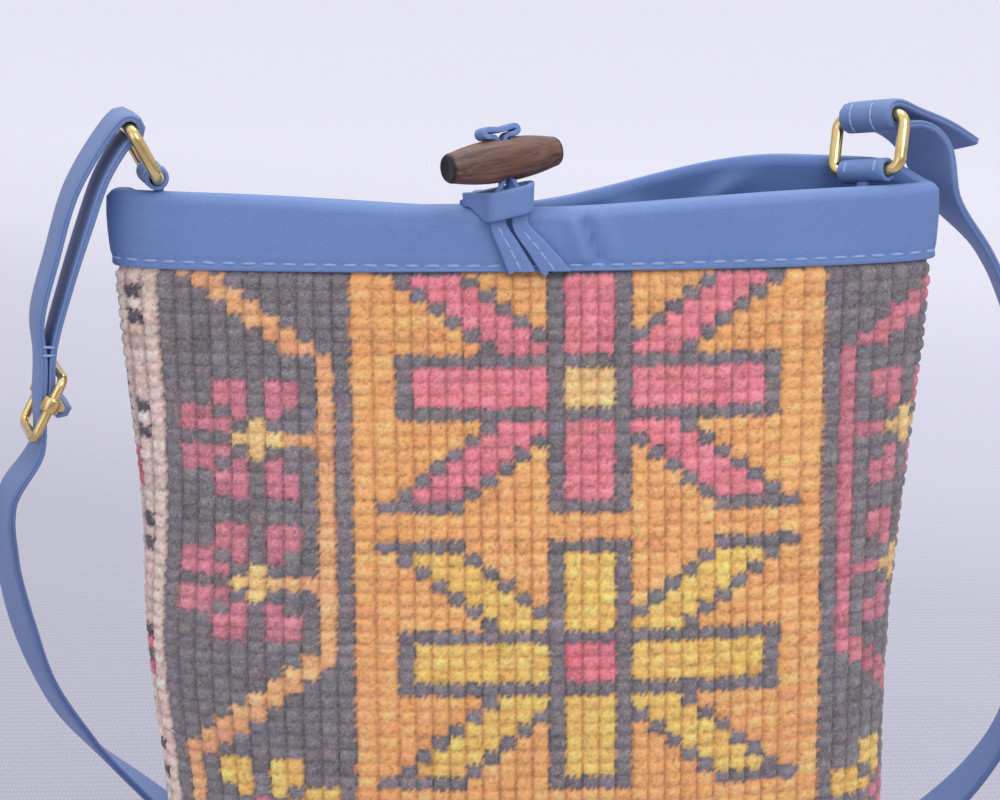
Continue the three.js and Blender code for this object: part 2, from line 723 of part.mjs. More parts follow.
// Closure loop: a collar round the thong's neck on a strip that comes over the rim from the back
function closureLoop() {
  const holeHalfX = thongNeckSpacing / 2 + thongNeckWidth / 2 + collarSideRoom;
  const thongFront = thongFace(rimMiddle - collarHeight) - thongThickness / 2;
  const holeFront = thongFront - fitGap - collarFrontRoom;
  const holeBack = toggleCentre.y + collarBackRoom;
  const roundedBox = (target, grow) => {
    const left = thongNeckX - holeHalfX - grow;
    const right = thongNeckX + holeHalfX + grow;
    const front = holeFront - grow;
    const back = holeBack + grow;
    const radius = collarCorner + grow;
    target.moveTo(left + radius, front);
    target.lineTo(right - radius, front);
    target.absarc(right - radius, front + radius, radius, -Math.PI / 2, 0);
    target.absarc(right - radius, back - radius, radius, 0, Math.PI / 2);
    target.absarc(left + radius, back - radius, radius, Math.PI / 2, Math.PI);
    target.absarc(left + radius, front + radius, radius, Math.PI, 1.5 * Math.PI);
    return target;
  };
  const outline = roundedBox(new THREE.Shape(), collarWall);
  outline.holes.push(roundedBox(new THREE.Path(), 0));
  const extrusion = { depth: collarHeight, bevelEnabled: false, curveSegments: curveFacets };
  const collar = new THREE.ExtrudeGeometry(outline, extrusion);
  collar.translate(0, 0, collarTop - collarHeight);
  const bandFront = -frontDepth(rimMiddle - bandHeight) - fitGap;
  const over = Math.max(rimMiddle, bagHeight - backRimDip) + fitGap;
  const clearDepth = 2 * (mouthFrontDepth + mouthBackDepthRight);
  const clearance = new THREE.BoxGeometry(4 * loopWidth, clearDepth, 2 * collarHeight);
  clearance.translate(thongNeckX, bandFront + clearDepth / 2, over - collarHeight);
  const collarBody = solid(collar).subtract(solid(clearance));
  return leather('closure_loop', surface(collarBody.add(solid(loopTail(holeBack, over)))));
}

// Strip of the closure loop: from the collar over both rims and down the back of the band
function loopTail(start, over) {
  const middle = Math.PI / 2;
  const tailBottom = over - loopTailLength;
  const backFace = (z) => wallPoint(0, middle, z).y + 2 * fitGap;
  const root = start + collarWall / 2;
  const heights = steps(curveFacets).map((along) => mix(over, tailBottom, along));
  const inner = heights.map((z) => new THREE.Vector2(backFace(z), z));
  const outer = inner.map((point) => new THREE.Vector2(point.x + collarWall, point.y));
  const shape = new THREE.Shape();
  shape.moveTo(root, over);
  inner.forEach((point) => shape.lineTo(point.x, point.y));
  [...outer].reverse().slice(0, -1).forEach((point) => shape.lineTo(point.x, point.y));
  shape.lineTo(outer[0].x, over + collarWall - loopBend);
  shape.lineTo(outer[0].x - loopBend, over + collarWall);
  shape.lineTo(root, over + collarWall);
  const tail = new THREE.ExtrudeGeometry(shape, { depth: loopWidth, bevelEnabled: false });
  const toWorld = new THREE.Matrix4().makeBasis(vec(0, 1, 0), vec(0, 0, 1), vec(1, 0, 0));
  tail.applyMatrix4(toWorld);
  tail.translate(thongNeckX - loopWidth / 2, 0, 0);
  return tail;
}

const bag = new THREE.Group();
bag.add(frontRugPanel());
bag.add(backPanel());
bag.add(liningPouch());
bag.add(mouthBand());
bag.add(ringAssembly('left', leftRingPlace, leftRingTurn, 0, leftRingLean));
bag.add(ringAssembly('right', rightRingPlace, 90 + rightRingTurn, rightRingRoll, rightRingLean));
bag.add(slider());
bag.add(shoulderStrap());
bag.add(toggle());
bag.add(toggleThong());
bag.add(closureLoop());

export default bag;
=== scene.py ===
# Looks of the crossbody bag: knotted rug front, folded leather band, brass rings, slider and toggle.
# Sizes are in millimetres until a mesh is made; the camera and the lights are in metres.
# The front faces -Y and +Z is up.
import math

import bmesh
import bpy
import numpy as np
from mathutils import Matrix, Quaternion, Vector


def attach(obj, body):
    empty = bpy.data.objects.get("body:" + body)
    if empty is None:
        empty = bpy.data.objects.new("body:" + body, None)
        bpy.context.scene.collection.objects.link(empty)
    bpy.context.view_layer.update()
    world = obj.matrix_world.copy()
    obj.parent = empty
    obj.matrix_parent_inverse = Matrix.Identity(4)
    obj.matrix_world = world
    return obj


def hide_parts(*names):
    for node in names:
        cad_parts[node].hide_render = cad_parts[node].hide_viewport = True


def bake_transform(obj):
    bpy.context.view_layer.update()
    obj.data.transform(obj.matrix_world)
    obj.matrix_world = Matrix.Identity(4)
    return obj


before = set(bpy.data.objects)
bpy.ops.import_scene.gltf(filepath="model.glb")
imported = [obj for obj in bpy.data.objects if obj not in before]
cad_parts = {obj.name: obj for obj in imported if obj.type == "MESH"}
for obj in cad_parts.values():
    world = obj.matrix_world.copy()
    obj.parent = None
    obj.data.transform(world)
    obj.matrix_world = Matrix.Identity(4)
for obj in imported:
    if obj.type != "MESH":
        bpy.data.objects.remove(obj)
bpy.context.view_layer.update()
rng = np.random.default_rng(11)
MM = 0.001

# Body of the bag, as in the part's source
BAG_HEIGHT = 286.0
MOUTH_HALF_WIDTH = 120.0
BASE_HALF_WIDTH = 108.5
MOUTH_FRONT_DEPTH = 17.0
MOUTH_BACK_DEPTH_LEFT = 6.0
MOUTH_BACK_DEPTH_RIGHT = 33.0
MOUTH_BACK_DEPTH_SEAM = 17.0
BASE_DEPTH = 34.0
BELLY_HEIGHT = 130.0
MOUTH_ROUNDNESS = 1.0
BASE_ROUNDNESS = 0.8
BOTTOM_RADIUS = 13.0
SEAM_SHIFT = 0.15
LEFT_FOLD_SHARES = (0.35, 0.95)
RIM_END_SHARES = (0.1, 0.5)
RIM_SAG = 4.5
RIM_SAG_WIDTH = 66.0
BACK_RIM_RISE = 5.0
BAND_HEIGHT = 22.2
FACING_HEIGHT = 22.0
BAND_THICKNESS = 1.4
PANEL_INSET = 1.75
PANEL_INNER = 5.15
LINING_INSET = 5.5
LINING_INNER = 6.3
BAND_INNER = 8.05
FIT_GAP = 0.35

# The soft back rim, which follows the photograph a little further than the source does
OPEN_SHARES = (-0.08, 0.68)
BACK_RIM_DIP = 6.0

# Hardware, as in the part's source
STRAP_WIDTH = 18.0
STRAP_THICKNESS = 2.4
STRAP_END_THICKNESS = 2.0
STRAP_SLACK = 0.25
RING_WIRE = 1.8
RING_WIDTH = 23.6
RING_HEIGHT = 16.2
RING_CORNER = 3.4
LEFT_RING_PLACE = Vector((-106.8, 0, 289.8))
LEFT_RING_TURN = 16.0
LEFT_RING_LEAN = -27.0
RIGHT_RING_PLACE = Vector((99, 2, 288.8))
RIGHT_RING_TURN = 45.0
RIGHT_RING_ROLL = -9.0
RIGHT_RING_LEAN = 20.0
TAB_WIDTH = 16.1
TAB_THICKNESS = 1.3
STRAP_LEAN = 4.0
SLIDER_WIRE = 1.4
SLIDER_BAR = 1.2
SLIDER_LENGTH = 19.5
SLIDER_TILT = 24.6
SLEEVE_RADIUS = 2.6
SLEEVE_LENGTH = 4.5
SLIDER_CORNER = 3.0
TOGGLE_LENGTH = 37.0
TOGGLE_RADIUS = 6.2
TOGGLE_END_RADIUS = 3.9
TOGGLE_HOLE = 3.5
TOGGLE_CENTRE = Vector((-6.6, -16.0, 295.6))
TOGGLE_YAW = 32.0
TOGGLE_ROLL = 3.0
RIM_MIDDLE = BAG_HEIGHT - RIM_SAG
COLLAR_TOP = RIM_MIDDLE + 6.5
COLLAR_HEIGHT = 9.6
NECK_X = -4.7


# Small helpers
def mix(a, b, t):
    return a + (b - a) * t


def smooth(value, low, high):
    t = np.clip((np.asarray(value, float) - low) / (high - low), 0, 1)
    return t * t * (3 - 2 * t)


def power(value, exponent):
    return np.sign(value) * np.abs(value) ** exponent


def bell(value, centre, width):
    return np.exp(-(((np.asarray(value, float) - centre) / width) ** 2))


def plateau(size, value, rise, fall):
    """A size that sets in over the rise, holds, and dies away over the fall."""
    return size * smooth(value, *rise) * (1 - smooth(value, *fall))


def linear(red, green, blue):
    """A screen colour, 0 to 255, as the linear colour that shaders take."""
    parts = [value / 255 for value in (red, green, blue)]
    return tuple(v / 12.92 if v <= 0.04045 else ((v + 0.055) / 1.055) ** 2.4 for v in parts) + (1.0,)


def turned(vector, axis, degrees):
    return Matrix.Rotation(math.radians(degrees), 3, axis) @ Vector(vector)


def ring_matrix(turn, roll, lean):
    """Stands a ring or a tab in its place: it leans over its bar, rolls sideways and turns about Z."""
    lean_over = Matrix.Rotation(math.radians(lean), 3, "Y")
    roll_over = Matrix.Rotation(math.radians(roll), 3, "X")
    return Matrix.Rotation(math.radians(turn), 3, "Z") @ roll_over @ lean_over


# Form of the bag
def wall(inset, angle, z, flatten=1.0):
    """Points of a wall layer. Angles run from -pi at the left seam over the front, then the back."""
    inset, angle, z, flatten = np.broadcast_arrays(inset, angle, z, flatten)
    rise = smooth(z, BELLY_HEIGHT, BAG_HEIGHT)
    exponent = mix(BASE_ROUNDNESS, MOUTH_ROUNDNESS, rise)
    cos, sin = np.cos(angle), np.sin(angle)
    front = mix(BASE_DEPTH, MOUTH_FRONT_DEPTH, rise)
    near_left = np.where(cos < 0, 1 - smooth(sin, *LEFT_FOLD_SHARES), 0)
    middle = mix(MOUTH_BACK_DEPTH_LEFT, MOUTH_BACK_DEPTH_RIGHT, smooth(cos, *OPEN_SHARES))
    back = mix(BASE_DEPTH, mix(middle, MOUTH_BACK_DEPTH_SEAM, near_left), rise)
    depth = np.where(angle < 0, front, back)
    x = (mix(BASE_HALF_WIDTH, MOUTH_HALF_WIDTH, rise) - inset) * power(cos, exponent)
    y = (depth - inset) * power(sin, exponent) * flatten
    return np.stack([x, y, z], -1)


def rim_height(angle):
    x = MOUTH_HALF_WIDTH * np.cos(angle)
    sag = bell(x, 0, RIM_SAG_WIDTH) * np.abs(np.sin(angle))
    open_side = smooth(np.cos(angle), *OPEN_SHARES)
    ends = smooth(np.sin(angle), *RIM_END_SHARES)
    back = BAG_HEIGHT + mix(-BACK_RIM_DIP, BACK_RIM_RISE, open_side) * ends
    return np.where(angle < 0, BAG_HEIGHT - RIM_SAG * sag, back)


def shell(inset, angle, z_or_past, shift=0.0):
    """Points of a wall layer that runs on below the wall: past its foot, heights below the corner count
    the way round the bottom edge and on to the bottom seam."""
    inset, angle, way = np.broadcast_arrays(inset, angle, np.asarray(z_or_past, float))
    past = np.clip(BOTTOM_RADIUS - way, 0, None)
    turn = np.clip(past / BOTTOM_RADIUS, 0, math.pi / 2)
    flat_length = BASE_DEPTH - PANEL_INSET - BOTTOM_RADIUS
    flatten = 1 - np.clip((past - BOTTOM_RADIUS * math.pi / 2) / flat_length, 0, 1)
    radius = BOTTOM_RADIUS - (inset - PANEL_INSET)
    shrink = np.where(past > 0, PANEL_INSET + BOTTOM_RADIUS - radius * np.cos(turn), inset)
    points = wall(shrink, angle, np.maximum(way, BOTTOM_RADIUS), flatten)
    points[..., 2] = np.where(past > 0, BOTTOM_RADIUS - radius * np.sin(turn), way)
    points[..., 1] += shift
    return points


BOTTOM_WAY = BOTTOM_RADIUS * (1 - math.pi / 2) - (BASE_DEPTH - PANEL_INSET - BOTTOM_RADIUS)


# Meshes
STITCH_SHAPE = ((-1, 0.3), (-0.72, 0.85), (0, 1), (0.72, 0.85), (1, 0.3))
STITCH_SIDES = 6
STITCH_SINK = 0.35
STITCH_PITCH = 5.8
STITCH_LENGTH = 4.0


class Skin:
    """Collects the points and faces of one piece, with a material number for each face."""

    def __init__(self):
        self.points = []
        self.faces = []
        self.kinds = []

    def add(self, points):
        first = len(self.points)
        self.points.extend(np.asarray(points, float).reshape(-1, 3).tolist())
        return first

    def face(self, indices, kind=0):
        self.faces.append([int(i) for i in indices])
        self.kinds.append(kind)

    def grid(self, rows, wrap_rows=False, wrap_columns=False, flip=False, kind=0):
        rows = np.asarray(rows, float)
        m, n = rows.shape[:2]
        first = self.add(rows)
        spans = (np.arange(m - (not wrap_rows)), np.arange(n - (not wrap_columns)))
        i, j = np.meshgrid(*spans, indexing="ij")
        ahead, beside = (i + 1) % m, (j + 1) % n
        corners = (i * n + j, i * n + beside, ahead * n + beside, ahead * n + j)
        quads = np.stack(corners, -1).reshape(-1, 4) + first
        if flip:
            quads = quads[:, ::-1]
        self.faces.extend(quads.tolist())
        self.kinds.extend([kind] * len(quads))
        return first + np.arange(m * n).reshape(m, n)

    def seam(self, first, second):
        """Triangles between two edges with any number of points that start and end side by side."""
        i = j = 0
        while i + 1 < len(first) or j + 1 < len(second):
            along_first = (i + 1) / max(1, len(first) - 1)
            along_second = (j + 1) / max(1, len(second) - 1)
            if j + 1 >= len(second) or (i + 1 < len(first) and along_first <= along_second + 1e-9):
                self.face((first[i], first[i + 1], second[j]))
                i += 1
            else:
                self.face((first[i], second[j + 1], second[j]))
                j += 1

    def join(self, outer, inner):
        """Closes a shell: joins the four edges of its outer grid to those of its inner one."""
        self.seam(outer[0], inner[0])
        self.seam(inner[-1], outer[-1])
        self.seam(inner[:, 0], outer[:, 0])
        self.seam(outer[:, -1], inner[:, -1])

    def sweep(self, sections, close=False, kind=0):
        """A tube through closed sections, with flat ends or closed into a ring."""
        index = self.grid(sections, wrap_rows=close, wrap_columns=True, kind=kind)
        if not close:
            self.face(index[0][::-1], kind)
            self.face(index[-1], kind)

    def stitch(self, centre, along, out, length, width, height, kind=1):
        """One stitch: a low rounded bead of thread along a direction, on a face that looks out."""
        along = Vector(along).normalized()
        out = Vector(out).normalized()
        side = out.cross(along).normalized()
        out = along.cross(side)
        rings = []
        for place, size in STITCH_SHAPE:
            sunk = out * (height * STITCH_SINK * place * place)
            middle = Vector(centre) + along * (place * length / 2) - sunk
            ring = []
            for k in range(STITCH_SIDES):
                turn = k * 2 * math.pi / STITCH_SIDES
                ring.append(middle + side * (math.cos(turn) * width / 2 * size)
                            + out * (math.sin(turn) * height * size))
            rings.append(ring)
        self.sweep(rings, kind=kind)

    def piece(self, name, materials, sharp=50, outward=True):
        mesh = bpy.data.meshes.new(name)
        mesh.from_pydata([[value * MM for value in point] for point in self.points], [], self.faces)
        mesh.polygons.foreach_set("material_index", self.kinds)
        for item in materials:
            mesh.materials.append(item)
        if outward:
            work = bmesh.new()
            work.from_mesh(mesh)
            bmesh.ops.recalc_face_normals(work, faces=work.faces)
            work.to_mesh(mesh)
            work.free()
        mesh.shade_smooth()
        mesh.set_sharp_from_angle(angle=math.radians(sharp))
        obj = bpy.data.objects.new(name, mesh)
        bpy.context.scene.collection.objects.link(obj)
        return obj


def dress(piece, body, node=None):
    """Rides a piece on its body, and makes it stand for a node if one is given."""
    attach(piece, body)
    if node:
        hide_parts(node)


def ways_along(points):
    """How far along a line of points each of them lies."""
    steps = np.linalg.norm(np.diff(points, axis=0), axis=1)
    return np.concatenate([[0], np.cumsum(steps)])


def spline(points, per_segment):
    """A centripetal Catmull-Rom curve through the points, as the part's source draws it."""
    p = np.array([list(point) for point in points], float)
    p = np.vstack([2 * p[0] - p[1], p, 2 * p[-1] - p[-2]])
    result = []
    for i in range(len(p) - 3):
        p0, p1, p2, p3 = p[i:i + 4]
        d0, d1, d2 = (np.linalg.norm(b - a) ** 0.5 for a, b in ((p0, p1), (p1, p2), (p2, p3)))
        d1 = d1 if d1 > 1e-4 else 1.0
        d0 = d0 if d0 > 1e-4 else d1
        d2 = d2 if d2 > 1e-4 else d1
        m1 = ((p1 - p0) / d0 - (p2 - p0) / (d0 + d1) + (p2 - p1) / d1) * d1
        m2 = ((p2 - p1) / d1 - (p3 - p1) / (d1 + d2) + (p3 - p2) / d2) * d1
        last = i == len(p) - 4
        for t in np.arange(per_segment + last) / per_segment:
            cubic = (2 * p1 - 2 * p2 + m1 + m2) * t ** 3 + (3 * p2 - 3 * p1 - 2 * m1 - m2) * t ** 2
            result.append(cubic + m1 * t + p1)
    return np.array(result)


class Route:
    """A strip's centreline with its edge direction and size, sampled evenly."""

    def __init__(self, stops, spacing, per_segment=24):
        dense = spline([stop[0] for stop in stops], per_segment)
        edges = spline([stop[1] for stop in stops], per_segment)
        sizes = spline([(stop[2], stop[3], 0) for stop in stops], per_segment)
        self.ways = ways_along(dense)
        self.stops = self.ways[::per_segment]
        self.length = self.ways[-1]
        self.dense, self.edges, self.sizes = dense, edges, sizes
        self.spacing = spacing

    def pick(self, values, way):
        return np.stack([np.interp(way, self.ways, values[:, k]) for k in range(3)], -1)

    def at(self, way):
        """Centre, tangent, edge, face direction and size at a way along the strip."""
        centre = self.pick(self.dense, way)
        step = 0.4
        before = self.pick(self.dense, np.maximum(way - step, 0))
        after = self.pick(self.dense, np.minimum(way + step, self.length))
        tangent = (after - before) / np.linalg.norm(after - before)
        edge = self.pick(self.edges, way)
        edge = edge - tangent * edge.dot(tangent)
        edge = edge / np.linalg.norm(edge)
        return centre, tangent, edge, np.cross(tangent, edge), self.pick(self.sizes, way)

    def sections(self, outline, start, end):
        """The outline, in shares of half the width and half the thickness, at each sample."""
        count = max(2, int(round((end - start) / self.spacing)) + 1)
        rows = []
        for way in np.linspace(start, end, count):
            centre, _, edge, face, size = self.at(way)
            half_width = edge * (size[0] / 2)
            half_thickness = face * (size[1] / 2)
            rows.append([centre + half_width * u + half_thickness * v for u, v in outline])
        return np.array(rows)

    def strip(self, layers):
        return self.sections(strip_outline(layers), 0, self.length)

    def sew(self, skin, way, towards, stitch, aside=0.0, lift=0.0):
        """One stitch along the strip, on the face that looks towards a direction."""
        centre, tangent, edge, face, size = self.at(way)
        out = face if face.dot(towards) > 0 else -face
        skin.stitch(centre + edge * aside + out * (size[1] / 2 + lift), tangent, out, *stitch)


def strip_outline(layers):
    """A leather strip's section: rounded edges, with a line between its layers if there are two."""
    corner = [(0.86, 1.0), (0.945, 0.92), (0.99, 0.66), (1.0, 0.34)]
    middle = (0.965, 0.0) if layers > 1 else (1.0, 0.0)
    edge = corner + [middle] + [(u, -v) for u, v in corner[::-1]]
    face = [(-0.5, 1.04), (0.0, 1.06), (0.5, 1.04)]
    top = face[::-1]
    bottom = [(u, -v) for u, v in face]
    return edge[::-1] + top + [(-u, v) for u, v in edge] + bottom


# Materials
class Look:
    """One procedural material: nodes on object coordinates, which are metres on the part."""

    def __init__(self, name, **uniform):
        self.material = bpy.data.materials.new(name)
        self.material.use_nodes = True
        self.tree = self.material.node_tree
        self.shader = self.tree.nodes["Principled BSDF"]
        for socket, value in uniform.items():
            self.shader.inputs[socket.replace("_", " ")].default_value = value
        self.place = self.tree.nodes.new("ShaderNodeTexCoord").outputs["Object"]

    def node(self, kind, inputs=(), **settings):
        node = self.tree.nodes.new(kind)
        for key, value in settings.items():
            setattr(node, key, value)
        for key, value in dict(inputs).items():
            if isinstance(value, bpy.types.NodeSocket):
                self.tree.links.new(value, node.inputs[key])
            else:
                node.inputs[key].default_value = value
        return node

    def mapped(self, scale, vector=None):
        inputs = {"Vector": vector or self.place, "Scale": scale}
        return self.node("ShaderNodeMapping", inputs).outputs[0]

    def noise(self, scale, detail=2.0, roughness=0.5, vector=None):
        inputs = {"Scale": scale, "Detail": detail, "Roughness": roughness}
        inputs["Vector"] = vector or self.place
        return self.node("ShaderNodeTexNoise", inputs).outputs["Fac"]

    def cells(self, scale):
        inputs = {"Vector": self.place, "Scale": scale}
        return self.node("ShaderNodeTexVoronoi", inputs).outputs["Distance"]

    def weave(self, directions, vector=None, **settings):
        """Threads that cross: the product of waves along each direction."""
        inputs = {key.replace("_", " "): value for key, value in settings.items()}
        inputs["Vector"] = vector or self.place
        threads = [self.node("ShaderNodeTexWave", inputs, bands_direction=direction).outputs["Fac"]
                   for direction in directions]
        return self.maths("MULTIPLY", *threads)

    def span(self, value, low=0.0, high=1.0, start=0.0, end=1.0):
        """The value's way from start to end, as a number from low to high."""
        inputs = {"Value": value, "From Min": start, "From Max": end, "To Min": low, "To Max": high}
        return self.node("ShaderNodeMapRange", inputs).outputs[0]

    def ramp(self, source, *stops):
        node = self.node("ShaderNodeValToRGB", {"Fac": source})
        ramp = node.color_ramp
        while len(ramp.elements) < len(stops):
            ramp.elements.new(0.5)
        for element, (place, colour) in zip(ramp.elements, stops):
            element.position = place
            element.color = colour if isinstance(colour, tuple) else (colour, colour, colour, 1)
        return node.outputs["Color"]

    def blend(self, factor, a, b, mode="MIX"):
        node = self.node("ShaderNodeMix", {0: factor, 6: a, 7: b}, data_type="RGBA", blend_type=mode)
        return node.outputs[2]

    def maths(self, operation, a, b):
        return self.node("ShaderNodeMath", {0: a, 1: b}, operation=operation).outputs[0]

    def bump(self, height, strength, distance, normal=None):
        inputs = {"Height": height, "Strength": strength, "Distance": distance}
        if normal:
            inputs["Normal"] = normal
        return self.node("ShaderNodeBump", inputs).outputs[0]

    def edges(self, *stops):
        """Where a surface is convex, for wear, or hollow, for painted shade."""
        return self.ramp(self.node("ShaderNodeNewGeometry").outputs["Pointiness"], *stops)

    def finish(self, colour, normal=None, roughness=None):
        """Links what varies over the surface to the shader, and returns the material."""
        for socket, source in (("Base Color", colour), ("Normal", normal), ("Roughness", roughness)):
            if source:
                self.tree.links.new(source, self.shader.inputs[socket])
        return self.material


def leather_look(name, base, worn, dark):
    """Soft leather: cloudy colour, pores and worn edges over creases and fine grain."""
    look = Look(name, Specular_IOR_Level=0.32, Sheen_Weight=0.05, Sheen_Roughness=0.45)
    cloud = look.ramp(look.noise(scale=16, detail=3), (0.3, 0.0), (0.75, 1.0))
    pores = look.ramp(look.noise(scale=1100, detail=3), (0.34, 1.0), (0.5, 0.0))
    rubbed = look.edges((0.51, 0.0), (0.6, 1.0))
    colour = look.blend(cloud, base, worn)
    colour = look.blend(look.maths("MULTIPLY", pores, 0.14), colour, dark)
    colour = look.blend(look.maths("MULTIPLY", rubbed, 0.3), colour, worn)
    rough = look.span(look.noise(scale=60, detail=4), low=0.5, high=0.62)
    crease = look.bump(look.noise(scale=90, detail=4, roughness=0.55), strength=0.1, distance=0.0012)
    grain = look.bump(look.cells(scale=1500), strength=0.16, distance=0.00025, normal=crease)
    fine = look.bump(look.noise(scale=2600), strength=0.08, distance=0.00012, normal=grain)
    return look.finish(colour, fine, rough)


def thread_look():
    look = Look("thread", Roughness=0.7, Sheen_Weight=0.25, Sheen_Roughness=0.4)
    twist = look.noise(scale=1700)
    colour = look.blend(twist, linear(120, 148, 198), linear(166, 188, 224))
    return look.finish(colour, look.bump(twist, strength=0.5, distance=0.0002))


def rug_look():
    """Wool in the colour of each knot's yarn, with painted shade in the hollows and where the tufts' bump
    dips, and paler on stray fibres.
    """
    look = Look("knotted_wool_painted_shade", Roughness=0.95, Sheen_Weight=0.22, Sheen_Roughness=0.6,
                Specular_IOR_Level=0.08)
    yarn = look.node("ShaderNodeAttribute", attribute_name="knot_colour_and_painted_shade").outputs["Color"]
    fibre = look.noise(scale=1700, detail=4, roughness=0.7)
    tuft = look.noise(scale=620, detail=3, roughness=0.65)
    # Painted shade: the yarn's colour is darkened where the surface is hollow and where the tufts' bump
    # dips
    hollow = look.edges((0.43, 1.0), (0.5, 0.0))
    dark = look.blend(1.0, yarn, (0.5, 0.48, 0.5, 1), "MULTIPLY")
    light = look.blend(0.3, yarn, linear(240, 228, 220))
    colour = look.blend(look.ramp(tuft, (0.3, 0.7), (0.5, 0.0)), yarn, dark)
    colour = look.blend(look.ramp(fibre, (0.52, 0.0), (0.7, 1.0)), colour, light)
    colour = look.blend(look.maths("MULTIPLY", hollow, 0.4), colour, dark)
    tufts = look.bump(tuft, strength=0.6, distance=0.0012)
    return look.finish(colour, look.bump(fibre, strength=0.65, distance=0.0005, normal=tufts))


def brass_look():
    look = Look("polished_brass", Metallic=1.0)
    tarnish = look.noise(scale=140, detail=4)
    dull = look.ramp(tarnish, (0.4, 0.0), (0.75, 1.0))
    colour = look.blend(dull, linear(238, 212, 150), linear(208, 172, 104))
    scratches = look.noise(scale=2400, roughness=0.6, vector=look.mapped((1, 1, 0.12)))
    fine = look.bump(scratches, strength=0.05, distance=0.0001)
    return look.finish(colour, fine, look.span(tarnish, low=0.09, high=0.2))


def wood_look():
    """Dark wood with its grain along the toggle and darker end grain."""
    look = Look("dark_wood", Coat_Weight=0.12, Coat_Roughness=0.35, Specular_IOR_Level=0.4)
    turn = (0, math.radians(-TOGGLE_ROLL), math.radians(TOGGLE_YAW))
    toggle_axes = {"Vector": look.place, "Location": TOGGLE_CENTRE * MM, "Rotation": turn}
    own = look.node("ShaderNodeMapping", toggle_axes, vector_type="TEXTURE").outputs[0]
    along = look.mapped((0.07, 1, 1), own)
    grain = look.noise(scale=700, detail=5, roughness=0.65, vector=along)
    veins = look.noise(scale=1900, detail=3, roughness=0.6, vector=along)
    tones = ((0.3, linear(46, 32, 28)), (0.52, linear(104, 75, 65)), (0.75, linear(138, 102, 87)))
    colour = look.ramp(grain, *tones)
    cloud = look.ramp(look.noise(scale=75), (0.4, 0.0), (0.7, 0.5))
    colour = look.blend(cloud, colour, linear(124, 78, 56))
    colour = look.blend(look.ramp(veins, (0.3, 0.7), (0.42, 0.0)), colour, linear(36, 26, 24))
    axial = look.node("ShaderNodeSeparateXYZ", {"Vector": own}).outputs["X"]
    from_middle = look.maths("ABSOLUTE", axial, 0.0)
    half = TOGGLE_LENGTH / 2
    end_grain = look.span(from_middle, high=0.9, start=(half - 1.3) * MM, end=(half - 0.5) * MM)
    colour = look.blend(end_grain, colour, linear(22, 15, 14))
    fine = look.bump(veins, strength=0.3, distance=0.0002)
    return look.finish(colour, fine, look.span(grain, low=0.34, high=0.52))


def lining_look():
    look = Look("cotton_lining", Roughness=0.9, Sheen_Weight=0.15)
    cloth = look.weave("ZX", Scale=900.0, Distortion=1.5)
    colour = look.blend(look.noise(scale=35, detail=3), linear(132, 130, 146), linear(152, 150, 164))
    raised = look.ramp(cloth, (0.2, 0.0), (0.9, 0.35))
    colour = look.blend(raised, colour, linear(178, 176, 190))
    return look.finish(colour, look.bump(cloth, strength=0.4, distance=0.0003))


def stage_look():
    """Pale cloth with painted shade that grows darker and bluer to the near left."""
    look = Look("pale_cloth_painted_shade", Roughness=0.9, Specular_IOR_Level=0.1)
    # Painted shade: a ramp over the floor's place darkens it, and tints it blue, towards the near left
    split = look.node("ShaderNodeSeparateXYZ", {"Vector": look.place})
    sideways = look.maths("MULTIPLY", split.outputs["X"], 0.43)
    away = look.span(look.maths("ADD", split.outputs["Y"], sideways), start=0.2, end=2.2)
    tones = ((0.08, 0.5), (0.18, 0.54), (0.3, 0.66), (0.45, 0.76), (0.62, 0.92), (0.85, 1.0))
    shade_blueness = 1.12
    shades = [(place, (tone, tone, tone * mix(shade_blueness, 1.0, tone), 1)) for place, tone in tones]
    shade = look.ramp(away, *shades)
    weave = look.weave("XY", look.mapped((1, 0.36, 1)), Scale=190.0, Distortion=2.5, Detail=2.0,
                       Detail_Scale=1.5)
    raised = look.ramp(weave, (0.0, 0.0), (0.5, 1.0))
    cloth = look.blend(raised, linear(236, 233, 246), linear(250, 248, 254))
    return look.finish(look.blend(1.0, cloth, shade, "MULTIPLY"))


BLUE = linear(108, 135, 188)
BLUE_WORN = linear(115, 142, 195)
BLUE_DARK = linear(80, 103, 153)
leather = leather_look("blue_leather", BLUE, BLUE_WORN, BLUE_DARK)
strap_leather = leather_look("strap_leather", linear(109, 131, 179), linear(117, 139, 187),
                             linear(84, 104, 150))
# Painted shade: a darker copy of the blue leather for the facing inside the mouth, which lies in shade
facing_leather_painted_shade = leather_look("facing_leather_painted_shade", linear(84, 112, 167), linear(90, 119, 175), BLUE_DARK)
thread = thread_look()
wool = rug_look()
brass = brass_look()
wood = wood_look()
cotton = lining_look()


# Camera at the photograph's viewing angle
IMAGE_WIDTH = 1000
FOCAL_PIXELS = 2600
SENSOR = 36.0
ELEVATION = math.radians(14)
YAW = 0.02
DISTANCE = 0.765
ROLL = -0.005
TARGET = Vector((-0.0073, 0, 0.222))


def add_camera():
    level = math.cos(ELEVATION)
    forward = Vector((math.sin(YAW) * level, math.cos(YAW) * level, -math.sin(ELEVATION)))
    camera = bpy.data.objects.new("camera", bpy.data.cameras.new("camera"))
    camera.data.sensor_fit = "HORIZONTAL"
    camera.data.sensor_width = SENSOR
    camera.data.lens = FOCAL_PIXELS / IMAGE_WIDTH * SENSOR
    camera.location = TARGET - forward * DISTANCE
    upright = forward.to_track_quat("-Z", "Y")
    camera.rotation_euler = (upright @ Quaternion((0, 0, 1), ROLL)).to_euler()
    bpy.context.scene.collection.objects.link(camera)
    bpy.context.scene.camera = camera


